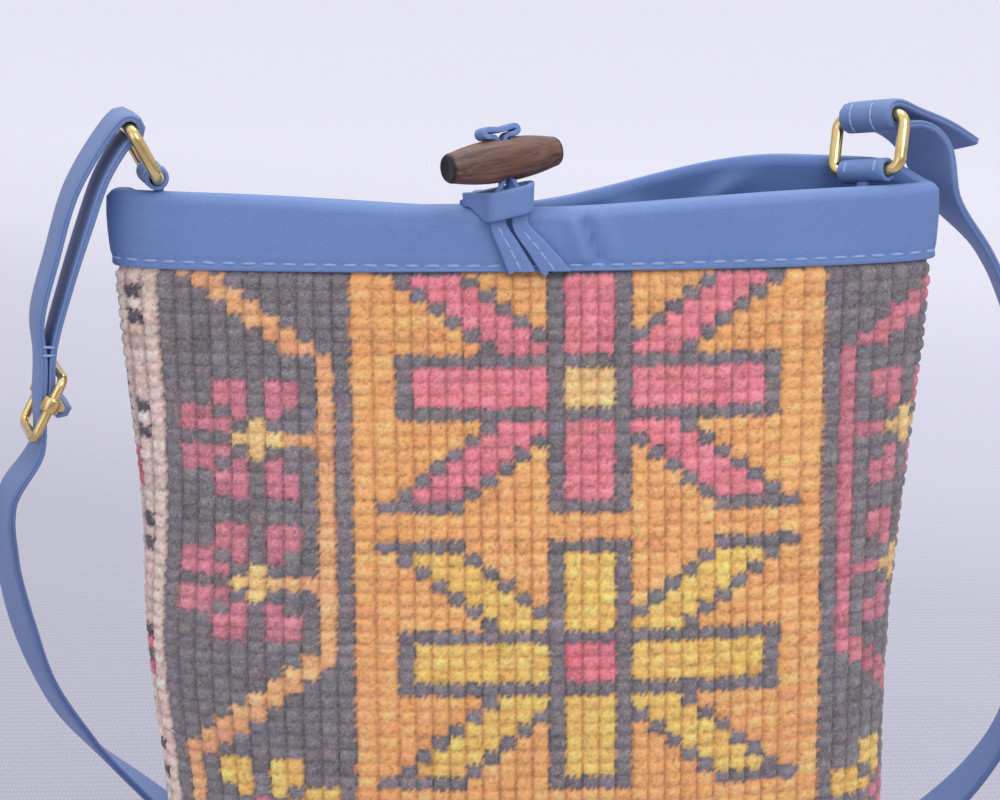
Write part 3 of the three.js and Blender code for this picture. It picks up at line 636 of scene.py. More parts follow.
# Floor and soft studio light
FLOOR_HALF = 7000.0
SKY_LOW = (0.40, 0.40, 0.44, 1)
SKY_HIGH = (0.95, 0.96, 1.0, 1)
SKY_HIGH_AT = 0.75
SKY_STRENGTH = 1.05
LAMP_AIM = Vector((0, 0, 0.2))


def add_stage():
    line = (-FLOOR_HALF, 0, FLOOR_HALF)
    skin = Skin()
    skin.grid([[(x, y, 0) for x in line] for y in line])
    skin.piece("floor", [stage_look()], outward=False)


def add_sky():
    world = bpy.data.worlds.new("studio")
    bpy.context.scene.world = world
    world.use_nodes = True
    tree = world.node_tree
    place = tree.nodes.new("ShaderNodeTexCoord").outputs["Generated"]
    split = tree.nodes.new("ShaderNodeSeparateXYZ")
    ramp = tree.nodes.new("ShaderNodeValToRGB")
    low, high = ramp.color_ramp.elements
    low.color = SKY_LOW
    high.color = SKY_HIGH
    high.position = SKY_HIGH_AT
    background = tree.nodes["Background"]
    background.inputs["Strength"].default_value = SKY_STRENGTH
    tree.links.new(place, split.inputs[0])
    tree.links.new(split.outputs["Z"], ramp.inputs["Fac"])
    tree.links.new(ramp.outputs["Color"], background.inputs["Color"])
    bpy.context.scene.view_settings.view_transform = "Standard"


def add_light(name, place, size, energy, colour=(1, 1, 1)):
    lamp = bpy.data.lights.new(name, "AREA")
    lamp.shape = "SQUARE"
    lamp.size = size
    lamp.energy = energy
    lamp.color = colour
    obj = bpy.data.objects.new(name, lamp)
    obj.location = place
    obj.rotation_euler = (LAMP_AIM - Vector(place)).to_track_quat("-Z", "Y").to_euler()
    bpy.context.scene.collection.objects.link(obj)


# Shoulder strap: its route repeats the stops of the part's source
def ring_top(place, turn, roll, lean):
    return ring_matrix(turn, roll, lean) @ Vector((0, 0, RING_HEIGHT)) + place


def turn_left(vector):
    return turned(vector, "Z", LEFT_RING_TURN)


def beside(x, y, z):
    return Vector((x * MOUTH_HALF_WIDTH, y, z * BAG_HEIGHT))


def beside_left(x, z):
    """A place in the upright plane through the left ring, which is turned with it."""
    return turn_left(beside(x, 0, z) - LEFT_RING_PLACE) + LEFT_RING_PLACE


RIGHT_BLEND_START = beside(1.211, 20, 0.86)
LEFT_RING_TOP = ring_top(LEFT_RING_PLACE, LEFT_RING_TURN, 0, LEFT_RING_LEAN)
RIGHT_RING_TOP = ring_top(RIGHT_RING_PLACE, RIGHT_RING_TURN, RIGHT_RING_ROLL, RIGHT_RING_LEAN)
SLIDER_PLACE = beside_left(-1.185, 0.789)
LEAN = math.radians(STRAP_LEAN)
STRAP_UP = turn_left((math.sin(LEAN), 0, math.cos(LEAN)))
STRAP_ACROSS = turn_left((math.cos(LEAN), 0, -math.sin(LEAN)))
LEFT_EDGE = turn_left((0, -1, 0))
LOWER_BAR_ACROSS = -(STRAP_THICKNESS / 2 + STRAP_SLACK + SLIDER_WIRE)
SLIDER_CENTRE_ACROSS = LOWER_BAR_ACROSS + SLIDER_LENGTH / 2 * math.sin(math.radians(SLIDER_TILT))
STRAP_END_ACROSS = STRAP_THICKNESS / 2 + STRAP_SLACK + STRAP_END_THICKNESS / 2
SLIDER_BAR_ACROSS = STRAP_END_ACROSS + STRAP_END_THICKNESS / 2 + STRAP_SLACK + SLIDER_BAR
SLIDER_SIDE_Y = STRAP_WIDTH / 2 + STRAP_SLACK + SLEEVE_RADIUS


def on_strap(across, along):
    return SLIDER_PLACE + STRAP_ACROSS * across + STRAP_UP * along


def arc(radius, degrees):
    return radius * math.cos(math.radians(degrees)), radius * math.sin(math.radians(degrees))


def strap_stops():
    """The strap's stops, with the numbers of those where its three pieces meet."""
    level = turned((1, 0, 0), "Z", RIGHT_RING_TURN - 90)
    away = Vector((0, 0, 1)).cross(level)
    tilt = Matrix.Rotation(math.radians(RIGHT_RING_ROLL), 3, away)
    right_bar = tilt @ level
    above = tilt @ Vector((0, 0, 1))
    wrap = RING_WIRE + FIT_GAP + STRAP_THICKNESS / 2
    edge = Vector((0, -1, 0))
    leaning = Vector((0, -0.95, -0.31))

    def by_right_bar(out, up, along=0.0):
        return RIGHT_RING_TOP + away * out + right_bar * along + above * up

    stops = []

    def stop(place, direction, thickness=STRAP_THICKNESS):
        stops.append((place, Vector(direction), STRAP_WIDTH, thickness))

    tail = ((34, -12.5, 5), (24, -5.8, 2.5), (12, -0.2, 0), (4, 2.9, 0))
    bend = [arc(wrap, degrees) for degrees in (90, 135, 180, 225, 270)]
    for place in (*tail, *bend, (5, -3.4, 0), (12, -4.6, 1), (19, -11, 4)):
        stop(by_right_bar(*place), right_bar)
    stop(beside(1.034, 16.5, 0.9755), (0.45, -0.89, 0))
    stop(beside(1.146, 18, 0.916), (0.08, -1, 0))
    stop(RIGHT_BLEND_START, edge)
    for place in ((1.29, 25, 0.741), (1.345, 33, 0.601), (1.36, 45, 0.4545), (1.31, 59, 0.3147)):
        stop(beside(*place), edge)
    for place in ((1.13, 77, 0.185), (0.86, 94, 0.0874), (0.55, 108, 0.0315), (0.217, 115, 0.0168),
                  (-0.1, 115, 0.0168), (-0.4, 109, 0.0315), (-0.667, 95, 0.084), (-0.867, 78, 0.168)):
        stop(beside(*place), leaning)
    floor_stop = len(stops) - 4
    stop(beside(-1.0133, 60, 0.26), (0.3, -0.93, -0.2))
    for place in ((-1.169, 46, 0.3507), (-1.258, 32, 0.446), (-1.292, 18, 0.5434)):
        stop(beside(*place), (0.5, -0.87, 0))
    stop(beside(-1.29, 4, 0.6213), (0.42, -0.91, 0))
    stop(beside(-1.258, -7, 0.6888), (0.32, -0.95, 0))
    for along in (-13, 0, 13):
        stop(on_strap(0, along), LEFT_EDGE)
    for place in ((-1.181, 0.8741), (-1.1383, 0.937), (-1.08, 1.007)):
        stop(beside_left(*place), LEFT_EDGE)
    for degrees in (140, 95, 50, 5, -40, -85):
        across, up = arc(wrap, degrees)
        stop(LEFT_RING_TOP + turn_left((across, 0, up)), LEFT_EDGE)
    for place in ((-1.0075, 1.0175), (-1.0583, 0.965)):
        stop(beside_left(*place), LEFT_EDGE)
    end_stop = len(stops)
    stop(beside_left(-1.1117, 0.902), LEFT_EDGE, STRAP_END_THICKNESS)
    stop(on_strap(STRAP_END_ACROSS + STRAP_SLACK, 16), LEFT_EDGE, STRAP_END_THICKNESS)
    stop(on_strap(STRAP_END_ACROSS, 6), LEFT_EDGE, STRAP_END_THICKNESS)
    for degrees in (180, 225, 270, 315, 360):
        across, along = arc(SLIDER_BAR_ACROSS - STRAP_END_ACROSS, degrees)
        stop(on_strap(SLIDER_BAR_ACROSS + across, along), LEFT_EDGE, STRAP_END_THICKNESS)
    return stops, floor_stop, end_stop


STRAP_PIECES = ("strap_right", "strap_left", "strap_end")
STRAP_SPACING = 2.2
CORD_SPACING = 3.0
END_STITCH = (3.6, 0.8, 0.4)
END_STITCH_PLACES = (15.2, 17.6)
WRAP_STITCH = (2.6, 0.7, 0.34)
WRAP_STITCH_LINES = (-4.6, 2.6)
WRAP_STOPS = (5, 7)


def stitch_strap_end(skin):
    """Stitches over the edges of the strap's end and of the strap that it is sewn to."""
    for along in END_STITCH_PLACES:
        place = on_strap(STRAP_END_ACROSS / 2, along) + LEFT_EDGE * (STRAP_WIDTH / 2 + 0.05)
        skin.stitch(place, STRAP_ACROSS, LEFT_EDGE, *END_STITCH)


def stitch_right_wrap(skin, route):
    """Two lines of stitches round the strap's bend in the right ring."""
    first, last = WRAP_STOPS
    for way in np.linspace(route.stops[first], route.stops[last], 4):
        away = route.at(way)[0] - np.array(RIGHT_RING_TOP)
        for line in WRAP_STITCH_LINES:
            route.sew(skin, way, away, WRAP_STITCH, aside=line, lift=0.06)


def add_strap():
    """The strap's three pieces. Returns the left piece, the end piece, the left piece's centreline in
    metres and its length in metres.
    """
    stops, floor_stop, end_stop = strap_stops()
    route = Route(stops, STRAP_SPACING)
    ways = (0, route.stops[floor_stop], route.stops[end_stop], route.length)
    pieces = []
    for name, start, end in zip(STRAP_PIECES, ways, ways[1:]):
        skin = Skin()
        skin.sweep(route.sections(strip_outline(2), start, end))
        if name == "strap_end":
            stitch_strap_end(skin)
        if name == "strap_right":
            stitch_right_wrap(skin, route)
        piece = skin.piece(name, [strap_leather, thread])
        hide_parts("shoulder_strap")
        pieces.append(piece)

    def line(start, end):
        samples = [*np.arange(start, end, CORD_SPACING), end]
        return [tuple(route.at(way)[0] * MM) for way in samples]

    right, left, last = pieces
    right_line = line(ways[0], ways[1])
    left_line = line(ways[1], ways[2])
    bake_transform(right)
    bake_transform(left)
    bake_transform(last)
    return left, last, left_line, (ways[2] - ways[1]) * MM


# Rug: the knots of the front panel, by column and row
COLUMN_GROUPS = ((14, 70.3), (2, 12.6), (23, 110.2), (2, 12.6), (7, 34.7))
FIRST_COLUMN = -27
ROW_ZERO_HEIGHT = 230.8
ROW_PITCH = 3.76
LOWER_ROW = 22
LOWER_ROW_PITCH = 4.12
FIRST_ROW = -9
TUFT_ACROSS = (0.0, 0.75, 0.95, 1.0, 0.95, 0.75)
TUFT_DOWN = (0.35, 0.9, 1.0, 0.9)
KNOT_ACROSS = len(TUFT_ACROSS)
KNOT_DOWN = len(TUFT_DOWN)
PILE = 0.95
GROOVE_INSET = 1.0
HIDDEN_INSET = 2.35
ROW_BEND = 0.02
FRAY = 0.05
YARN_LIGHT = 1.34
# Painted shade: the knots' colours are painted darker in their grooves and lighter on their tufts' tops
PAINTED_GROOVE_SHADE = 0.7
PAINTED_TUFT_LIGHT = 0.32
# How much the random draws spread
ROW_JITTER = 0.09
COLUMN_JITTER = 0.0005
TUFT_SPREAD = 0.16
PILE_SPREAD = 0.07
KNOT_SPREAD = 0.085
ROW_SPREAD = 0.03
DYE_SPREAD = 0.03
FIBRE_SPREAD = 0.1
# Where the rug is pressed flat, rolled in or bulged
UNDER_BAND = (261.6, 264.2)
UNDER_BAND_FLAT = 0.65
UNDER_FOOT = (6, 40)
SEAM_ROLL = 0.8
SEAM_ROLL_REACH = (0.0, 2.2)
RIGHT_ROLL_REACH = (0.5, 3.5)
PANEL_WAY = 2 * MOUTH_HALF_WIDTH
BULGE = 4.4
BULGE_HEIGHT = 150.0
BULGE_SPREAD = 36.0
BULGE_SHARES = (0.02, 0.3)
ROWS_EASED_BELOW = 100.0
RUG_SHARP = 75
INNER_COLUMNS = 40
# The design, in columns and rows
MEDALLION_ROWS = 21
MEDALLION_EDGE = 13
BORDER_LINES = (14, 24)
BORDER_FIRST = 15
BORDER_PERIOD = 60
FLOWER_COLUMN = 19

WARP = (150, 134, 130)
YARNS = {
    "orange": (240, 168, 106),
    "red": (223, 126, 136),
    "gold": (240, 187, 102),
    "straw": (236, 189, 126),
    "rose": (215, 115, 125),
    "grey": (119, 112, 117),
    "beige": (226, 197, 184),
    "pink": (196, 120, 133),
    "amber": (231, 167, 118),
    "dusk": (196, 116, 128),
    "charcoal": (84, 80, 90),
}


def medallion(column, row):
    """The field: a cross with four hooked arms in each repeat, in two colour turns."""
    turn = (row + MEDALLION_ROWS // 2) // MEDALLION_ROWS
    r = abs(row - MEDALLION_ROWS * turn)
    arms, core = (("red", "straw"), ("gold", "rose"))[turn % 2]
    m = abs(column)
    if r <= 1:
        if m <= 1:
            return core
        if m == 2 or m == 11:
            return "grey"
        return arms if m <= 10 else "orange"
    if r == 2:
        return "grey" if m <= 11 else "orange"
    if r <= 8:
        k = r - 3
        if m <= 1:
            return arms
        if m == 2 or m == 6 + k or (k >= 1 and m == 2 + k):
            return "grey"
        return arms if 3 + k <= m <= 5 + k else "orange"
    if r == 9:
        return "grey" if m <= 2 or 8 <= m <= 12 else "orange"
    return "orange"


def flower(towards, down, petal, heart, stem):
    """One flower on its stem: towards counts columns to the line that it grows from."""
    d = abs(down)
    if d == 0 and abs(towards) <= 1 or d == 1 and towards == 0:
        return heart
    if d == 0 and 2 <= towards <= 3:
        return stem
    if d == 1 and -4 <= towards <= -2:
        return petal
    if d == 2 and towards in (-4, -3, -1, 1):
        return petal
    if d in (3, 4) and 1 <= abs(towards) <= 2:
        return petal
    return None


def border(column, row):
    """The border: a stepped line with flowers in its bays, then the beaded edge."""
    m = abs(column)
    line = "amber" if column < 0 else "dusk"
    r = (row + 2) % BORDER_PERIOD
    if m in BORDER_LINES:
        return "grey"
    if m > BORDER_LINES[-1]:
        if m == 26 and (row + 7) % 9 in (0, 2):
            return "charcoal"
        if m == 27 and (row + 12) % 18 < 3 or m == 26 and (row + 19) % 40 < 3:
            return "rose"
        return "beige"
    outward = m - BORDER_FIRST
    on_line = (outward == 0 and r <= 23) or (outward == 8 and 30 <= r <= 53)
    on_line = on_line or (1 <= outward <= 8 and r - outward in (22, 23))
    on_line = on_line or (0 <= outward <= 7 and r + outward in (60, 61))
    if on_line:
        return line
    for centre in (6, 17):
        found = flower(FLOWER_COLUMN - m, r - centre, "pink", "straw", line)
        if found and r <= 24:
            return found
    for centre in (35, 46):
        found = flower(m - FLOWER_COLUMN, r - centre, "gold", "pink", line)
        if found and 29 <= r <= 54:
            return found
    return "grey"


def knot(column, row):
    return medallion(column, row) if abs(column) <= MEDALLION_EDGE else border(column, row)


def row_height(row):
    """The way up the front of a row of knots. Low rows are a little taller."""
    taller = (LOWER_ROW_PITCH - ROW_PITCH) * np.maximum(row - LOWER_ROW, 0)
    return ROW_ZERO_HEIGHT - ROW_PITCH * row - taller


def left_bulge(z):
    """How far the soft left side stands out below the mouth."""
    return BULGE * bell(z, BULGE_HEIGHT, BULGE_SPREAD)


def front_angles(share, z):
    """Angles on the front that lie at shares of the way from seam to seam, at one height."""
    fine = np.linspace(-math.pi, 0, 700)
    ways = ways_along(wall(PANEL_INSET, fine, z))
    return np.interp(np.asarray(share) * ways[-1], ways, fine)


def add_rug():
    widths = np.concatenate([np.full(count, total / count) for count, total in COLUMN_GROUPS])
    edges = np.concatenate([[0], np.cumsum(widths)])
    columns = len(widths)
    rows = int((row_height(LOWER_ROW) - BOTTOM_WAY) / LOWER_ROW_PITCH) + LOWER_ROW - FIRST_ROW
    across = np.arange(columns * KNOT_ACROSS + 1)
    down = np.arange(rows * KNOT_DOWN + 1)
    share = np.interp(across / KNOT_ACROSS, np.arange(columns + 1), edges / edges[-1])
    level = row_height(FIRST_ROW - 0.5 + down / KNOT_DOWN)
    level = level + (BOTTOM_WAY - level[-1]) * (1 - smooth(level, BOTTOM_WAY, ROWS_EASED_BELOW))
    in_knot = (across % KNOT_ACROSS) / KNOT_ACROSS
    bend = ROW_BEND * np.cos(2 * math.pi * in_knot)
    inside = np.minimum(down, down[-1] - down)[:, None] > 0
    way = level[:, None] + ROW_PITCH * bend[None, :] * inside
    way = way + rng.normal(0, ROW_JITTER, way.shape) * inside
    angle = np.empty_like(way)
    for i in range(len(down)):
        jitter = rng.normal(0, COLUMN_JITTER, len(share))
        jitter[0] = jitter[-1] = 0
        angle[i] = front_angles(np.clip(share + jitter, 0, 1), max(level[i], BOTTOM_RADIUS))
    tuft = np.outer(np.array(TUFT_DOWN)[down % KNOT_DOWN], np.array(TUFT_ACROSS)[across % KNOT_ACROSS])
    high = rng.normal(1, TUFT_SPREAD, (rows, columns))
    high = np.repeat(np.repeat(high, KNOT_DOWN, 0), KNOT_ACROSS, 1)
    high = np.pad(high, ((0, 1), (0, 1)), mode="edge")
    pile = PILE * tuft * high + rng.normal(0, PILE_SPREAD, way.shape)
    under_band = smooth(way, *UNDER_BAND)
    pile = pile * (1 - UNDER_BAND_FLAT * under_band)
    hidden = np.maximum(under_band, 1 - smooth(way, *UNDER_FOOT))
    near_seam = np.minimum(share, 1 - share) * PANEL_WAY
    roll = SEAM_ROLL * (1 - smooth(near_seam, *SEAM_ROLL_REACH))
    roll = roll + SEAM_ROLL * (1 - smooth((1 - share) * PANEL_WAY, *RIGHT_ROLL_REACH))
    bulge = left_bulge(way) * (1 - smooth(share, *BULGE_SHARES))[None, :]
    inset = mix(GROOVE_INSET, HIDDEN_INSET, hidden) - pile + roll[None, :] - bulge
    skin = Skin()
    outer = skin.grid(shell(inset, angle, way, -SEAM_SHIFT), flip=True)
    wall_levels = np.linspace(level[0], BOTTOM_RADIUS, 12)
    foot_levels = np.linspace(BOTTOM_RADIUS, BOTTOM_WAY, 7)[1:]
    levels = np.concatenate([wall_levels, foot_levels])[:, None]
    inner_angles = np.linspace(-math.pi, 0, INNER_COLUMNS + 1)[None, :]
    inner = skin.grid(shell(PANEL_INNER, inner_angles, levels, -SEAM_SHIFT))
    skin.join(outer, inner)
    piece = skin.piece("rug_front", [wool], sharp=RUG_SHARP)
    paint_knots(piece, tuft, rows, columns)
    dress(piece, "bag", "front_rug_panel")


def paint_knots(piece, tuft, rows, columns):
    """Gives each point its yarn's colour, taken a little beside it, so that the colours fray, with
    painted shade in the grooves between the tufts.
    """
    down = np.arange(tuft.shape[0])[:, None]
    across = np.arange(tuft.shape[1])[None, :]
    names = [[knot(FIRST_COLUMN + j, FIRST_ROW + i) for j in range(columns)] for i in range(rows)]
    tints = np.array([[linear(*YARNS[name])[:3] for name in line] for line in names])
    tints = tints * rng.normal(1, KNOT_SPREAD, (rows, columns, 1))
    tints = tints * rng.normal(1, ROW_SPREAD, (rows, 1, 1))
    tints = tints * rng.normal(1, DYE_SPREAD, (rows, columns, 3))
    row = np.floor(down / KNOT_DOWN + rng.normal(0, FRAY, tuft.shape)).astype(int)
    column = np.floor(across / KNOT_ACROSS + rng.normal(0, FRAY, tuft.shape)).astype(int)
    yarn = tints[row.clip(0, rows - 1), column.clip(0, columns - 1)]
    # Painted shade: darker where the tuft is low, in the grooves between knots
    raised = PAINTED_GROOVE_SHADE + PAINTED_TUFT_LIGHT * tuft[..., None]
    yarn = yarn * YARN_LIGHT * raised * rng.normal(1, FIBRE_SPREAD, (*tuft.shape, 1))
    colours = np.empty((len(piece.data.vertices), 4))
    colours[:] = linear(*WARP)
    colours[:tuft.size, :3] = np.clip(yarn, 0, 1).reshape(-1, 3)
    attribute = piece.data.color_attributes.new("knot_colour_and_painted_shade", "FLOAT_COLOR", "POINT")
    attribute.data.foreach_set("color", colours.astype(np.float32).ravel())


# Leather back and lining, with a few slow waves that are the same at each run
WAVE_COUNT = 7
WAVE_LENGTHS = (26, 90)
BACK_COLUMNS = 96
BACK_LEVELS = 90
BACK_UNDER_BAND = 8.0
BACK_HIDDEN_FROM = 256.0
BACK_INNER_LEVELS = 30
BACK_INSET = PANEL_INSET + 0.1
BACK_WAVY = ((-10, 40), (235, 258))
BACK_SEAM_CALM = (0.05, 0.5)
BACK_ROLL_REACH = (0, 2.0)
BACK_BULGE_SHARES = (0.7, 0.98)
SEAM_CROWDING = 0.06
# The left edge stands out past the rug, as a sliver of leather
SLIVER_FROM_SEAM = 5.0
SLIVER_WIDTH = 4.0
SLIVER_STANDS = (3.2, 2.0)
SLIVER_SINKS = (30, 170)
SLIVER_REACH = ((4, 40), (225, 255))
LINING_COLUMNS = 120
LINING_LEVELS = 60
LINING_LOOSE = ((-15, 30), (215, 255))
LINING_SLACK = 1.2
LINING_FOLD_MOST = 3.0


def waves(x, z, size, seed):
    draw = np.random.default_rng(seed)
    total = 0
    for _ in range(WAVE_COUNT):
        direction = draw.uniform(0, math.pi)
        length = draw.uniform(*WAVE_LENGTHS)
        phase = draw.uniform(0, 2 * math.pi)
        along = np.cos(direction) * x + np.sin(direction) * z
        total = total + np.sin(along * 2 * math.pi / length + phase)
    return total * size / 4


def back_ways(angle, levels):
    """Ways down the back, from its edge under the band to the bottom seam."""
    top = rim_height(angle)[None, :] - BAND_HEIGHT + BACK_UNDER_BAND
    return mix(top, BOTTOM_WAY, np.linspace(0, 1, levels + 1)[:, None])


def add_back():
    edge = np.linspace(0, 1, BACK_COLUMNS + 1)
    angle = math.pi * (edge - SEAM_CROWDING * np.sin(2 * math.pi * edge))
    way = back_ways(angle, BACK_LEVELS)
    x = BASE_HALF_WIDTH * np.cos(angle)[None, :]
    wavy = plateau(1.0, way, *BACK_WAVY) * smooth(np.sin(angle)[None, :], *BACK_SEAM_CALM)
    relief = waves(x, way, size=0.5, seed=5) * wavy
    near_seam = np.minimum(edge, 1 - edge)[None, :] * PANEL_WAY
    seam_roll = 1 - smooth(near_seam, *BACK_ROLL_REACH)
    sliver = bell((1 - edge)[None, :] * PANEL_WAY, SLIVER_FROM_SEAM, SLIVER_WIDTH)
    sliver = sliver * mix(*SLIVER_STANDS, smooth(way, *SLIVER_SINKS))
    sliver = plateau(sliver, way, *SLIVER_REACH)
    bulge = left_bulge(way) * smooth(edge, *BACK_BULGE_SHARES)[None, :]
    inset = BACK_INSET - relief + seam_roll - sliver - bulge
    inset = np.where(way > BACK_HIDDEN_FROM, np.maximum(inset, PANEL_INSET), inset)
    skin = Skin()
    outer = skin.grid(shell(inset, angle[None, :], way, SEAM_SHIFT), flip=True)
    inner_angles = np.linspace(0, math.pi, INNER_COLUMNS + 1)
    inner_way = back_ways(inner_angles, BACK_INNER_LEVELS)
    inner = skin.grid(shell(PANEL_INNER, inner_angles[None, :], inner_way, SEAM_SHIFT))
    skin.join(outer, inner)
    dress(skin.piece("leather_back", [leather]), "bag", "back_panel")


def add_lining():
    angle = np.linspace(-math.pi, math.pi, LINING_COLUMNS + 1)[:-1]
    rim = rim_height(angle)[None, :] - PANEL_INSET - FIT_GAP
    way = mix(rim, BOTTOM_WAY, np.linspace(0, 1, LINING_LEVELS + 1)[:, None])
    x = BASE_HALF_WIDTH * np.cos(angle)[None, :]
    fold = (LINING_SLACK + waves(x, way, size=1.1, seed=9)).clip(0, LINING_FOLD_MOST)
    fold = fold * plateau(1.0, way, *LINING_LOOSE)
    skin = Skin()
    outer = skin.grid(shell(LINING_INSET + fold, angle[None, :], way), wrap_columns=True, flip=True)
    inner = skin.grid(shell(LINING_INNER + fold, angle[None, :], way), wrap_columns=True)
    for j in range(len(angle)):
        after = (j + 1) % len(angle)
        skin.face((outer[0][j], outer[0][after], inner[0][after], inner[0][j]))
        skin.face((outer[-1][after], outer[-1][j], inner[-1][j], inner[-1][after]))
    dress(skin.piece("lining_pouch", [cotton], outward=False), "bag", "lining")


# Mouth band: one strip folded over the rim, a little uneven, with its sewing line
SEW_BELOW = 19.9
BAND_STITCH = (STITCH_LENGTH, 0.95, 0.5)
STITCH_TILT = 0.035
BAND_COLUMNS = 640
BAND_CROWDING = 0.035
BAND_CROWN = 2.3
BAND_SHOULDER = 3.5
BAND_INSIDE_TOP = 2.6
CROWN_SHAPE = 3.2
UPPER_BAND = 3.0
PUFF = 0.3
FURROW = 0.32
# Height, place beside the crease and width of its furrow and of the leather pushed up by it
CREASE = ((-1.5, 0.0, 1.7), (1.3, -3.9, 2.2), (0.6, 3.8, 2.4))
CREASE_ENDS = (16.0, 21.5)
CREASE_REACH = ((0.5, 5), (17, 21))
# A hollow left of the thong and a fold at the left seam: place and width across, then below the rim
HOLLOW = 0.5
HOLLOW_ACROSS = (-21, 5)
HOLLOW_BELOW = (8, 7)
SEAM_FOLD = 3.0
SEAM_FOLD_ROUND = (math.pi - 0.3, 0.2)
SEAM_FOLD_BELOW = (7, 5)
# Height, place, slope and width of each slack fold, then how far below the rim it lies and reaches
FACING_FOLDS = ((2.4, 34, 1.3, 6, 9, 4.5), (2.8, 66, -1.1, 6.5, 10, 5))
FOLD_PLACE_BELOW = 8
# How far in the rounded points of the band's cut edges lie
EDGE_INSETS = (0.35, 1.05)


def band_relief(angle, below):
    """How far the band's outside stands proud, in millimetres."""
    x = MOUTH_HALF_WIDTH * np.cos(angle)
    front = np.where(angle < 0, 1.0, 0.0)
    share = np.clip(below / BAND_HEIGHT, 0, 1)
    puff = PUFF * np.sin(math.pi * share)
    furrow = -FURROW * bell(below, SEW_BELOW, 1.0)
    crease_x = mix(*CREASE_ENDS, share)
    crease = sum(height * bell(x, crease_x + aside, width) for height, aside, width in CREASE) * front
    crease = plateau(crease, below, *CREASE_REACH)
    hollow = -HOLLOW * bell(x, *HOLLOW_ACROSS) * bell(below, *HOLLOW_BELOW) * front
    slow = waves(x, below * 2 + 40 * front, size=0.22, seed=3) * smooth(below, 1, 7)
    fold = SEAM_FOLD * bell(angle, *SEAM_FOLD_ROUND) * bell(below, *SEAM_FOLD_BELOW)
    return puff + furrow + crease + hollow + slow + fold


def facing_relief(angle, below):
    """How far the facing goes back from the mouth: slow waves, less its slack folds at the back."""
    x = MOUTH_HALF_WIDTH * np.cos(angle)
    relief = waves(x, below * 1.5 + 90, size=0.45, seed=8) * smooth(below, 2, 9)
    folds = 0
    for height, place, slope, width, middle, reach in FACING_FOLDS:
        ridge = bell(x, place + slope * (below - FOLD_PLACE_BELOW), width)
        folds = folds + height * ridge * bell(below, middle, reach)
    return relief - folds * (angle > 0)


def band_point(angle, inset, below, outside=True):
    """A point of the band. The lower edge of its outside is level in front, while the rim sags."""
    rim = rim_height(angle)
    bottom = np.where(np.asarray(angle) < 0, BAG_HEIGHT, rim) - BAND_HEIGHT
    stretch = (rim - UPPER_BAND - bottom) / (BAND_HEIGHT - UPPER_BAND) if outside else 1.0
    height = rim - np.minimum(below, UPPER_BAND) - np.maximum(below - UPPER_BAND, 0) * stretch
    return wall(inset, angle, height)


def run(inset, start, end, count):
    """Points of the band's section at one inset, from one depth below the rim to another."""
    return [(inset, below) for below in np.linspace(start, end, count)]


def add_band():
    edge = np.arange(BAND_COLUMNS) / BAND_COLUMNS
    angle = -math.pi + 2 * math.pi * (edge - BAND_CROWDING * np.sin(4 * math.pi * edge))
    outer = run(0.0, BAND_HEIGHT - 0.45, BAND_SHOULDER, 22)
    tops = [(share * BAND_INNER, BAND_CROWN * abs(2 * share - 1) ** CROWN_SHAPE)
            for share in np.linspace(0, 1, 15)]
    facing = run(BAND_INNER, BAND_SHOULDER, FACING_HEIGHT - 0.45, 14)
    lower = [(BAND_INNER - inset, FACING_HEIGHT) for inset in EDGE_INSETS]
    inside = run(BAND_INNER - BAND_THICKNESS, FACING_HEIGHT - 0.4, BAND_INSIDE_TOP, 8)
    inside += run(BAND_THICKNESS, BAND_INSIDE_TOP, BAND_HEIGHT - 0.4, 8)
    foot = [(inset, BAND_HEIGHT) for inset in EDGE_INSETS[::-1]]
    outline = outer + tops + facing + lower + inside + foot
    rows = []
    for inset, below in outline:
        on_outside = inset < 0.4
        on_facing = inset > BAND_INNER - 0.2
        relief = 0
        if on_outside:
            relief = band_relief(angle, np.full(BAND_COLUMNS, below))
        if on_facing:
            relief = facing_relief(angle, below)
        rows.append(band_point(angle, inset - relief, below, inset < BAND_INNER / 2))
    skin = Skin()
    skin.grid(np.array(rows).transpose(1, 0, 2), wrap_rows=True, wrap_columns=True)
    # The facing takes the darker copy of the leather: painted shade
    facing_from = len(outer) + len(tops) * 2 // 3
    facing_to = len(outer + tops + facing)
    skin.kinds = [int(facing_from <= k % len(outline) < facing_to) for k in range(len(skin.faces))]
    dress(skin.piece("folded_band", [leather, facing_leather_painted_shade]), "bag", "mouth_band")


def add_band_stitches():
    fine = np.linspace(-math.pi, math.pi, 4001)
    ways = ways_along(band_point(fine, 0.0, SEW_BELOW))
    count = int(ways[-1] / STITCH_PITCH)
    step = 0.004
    skin = Skin()
    for k in range(count):
        way = (k + 0.5) * ways[-1] / count
        angle = np.interp(way, ways, fine)
        relief = band_relief(np.array([angle]), np.array([SEW_BELOW]))[0]
        place = band_point(angle, -relief - 0.05, SEW_BELOW)
        ahead = band_point(angle + step, 0.0, SEW_BELOW)
        behind = band_point(angle - step, 0.0, SEW_BELOW)
        along = Vector(ahead - behind).normalized()
        out = along.cross(Vector((0, 0, 1)))
        tilt = Vector((0, 0, rng.normal(0, STITCH_TILT)))
        skin.stitch(place, along + tilt, out, *BAND_STITCH, kind=0)
    dress(skin.piece("band_stitches", [thread]), "bag")


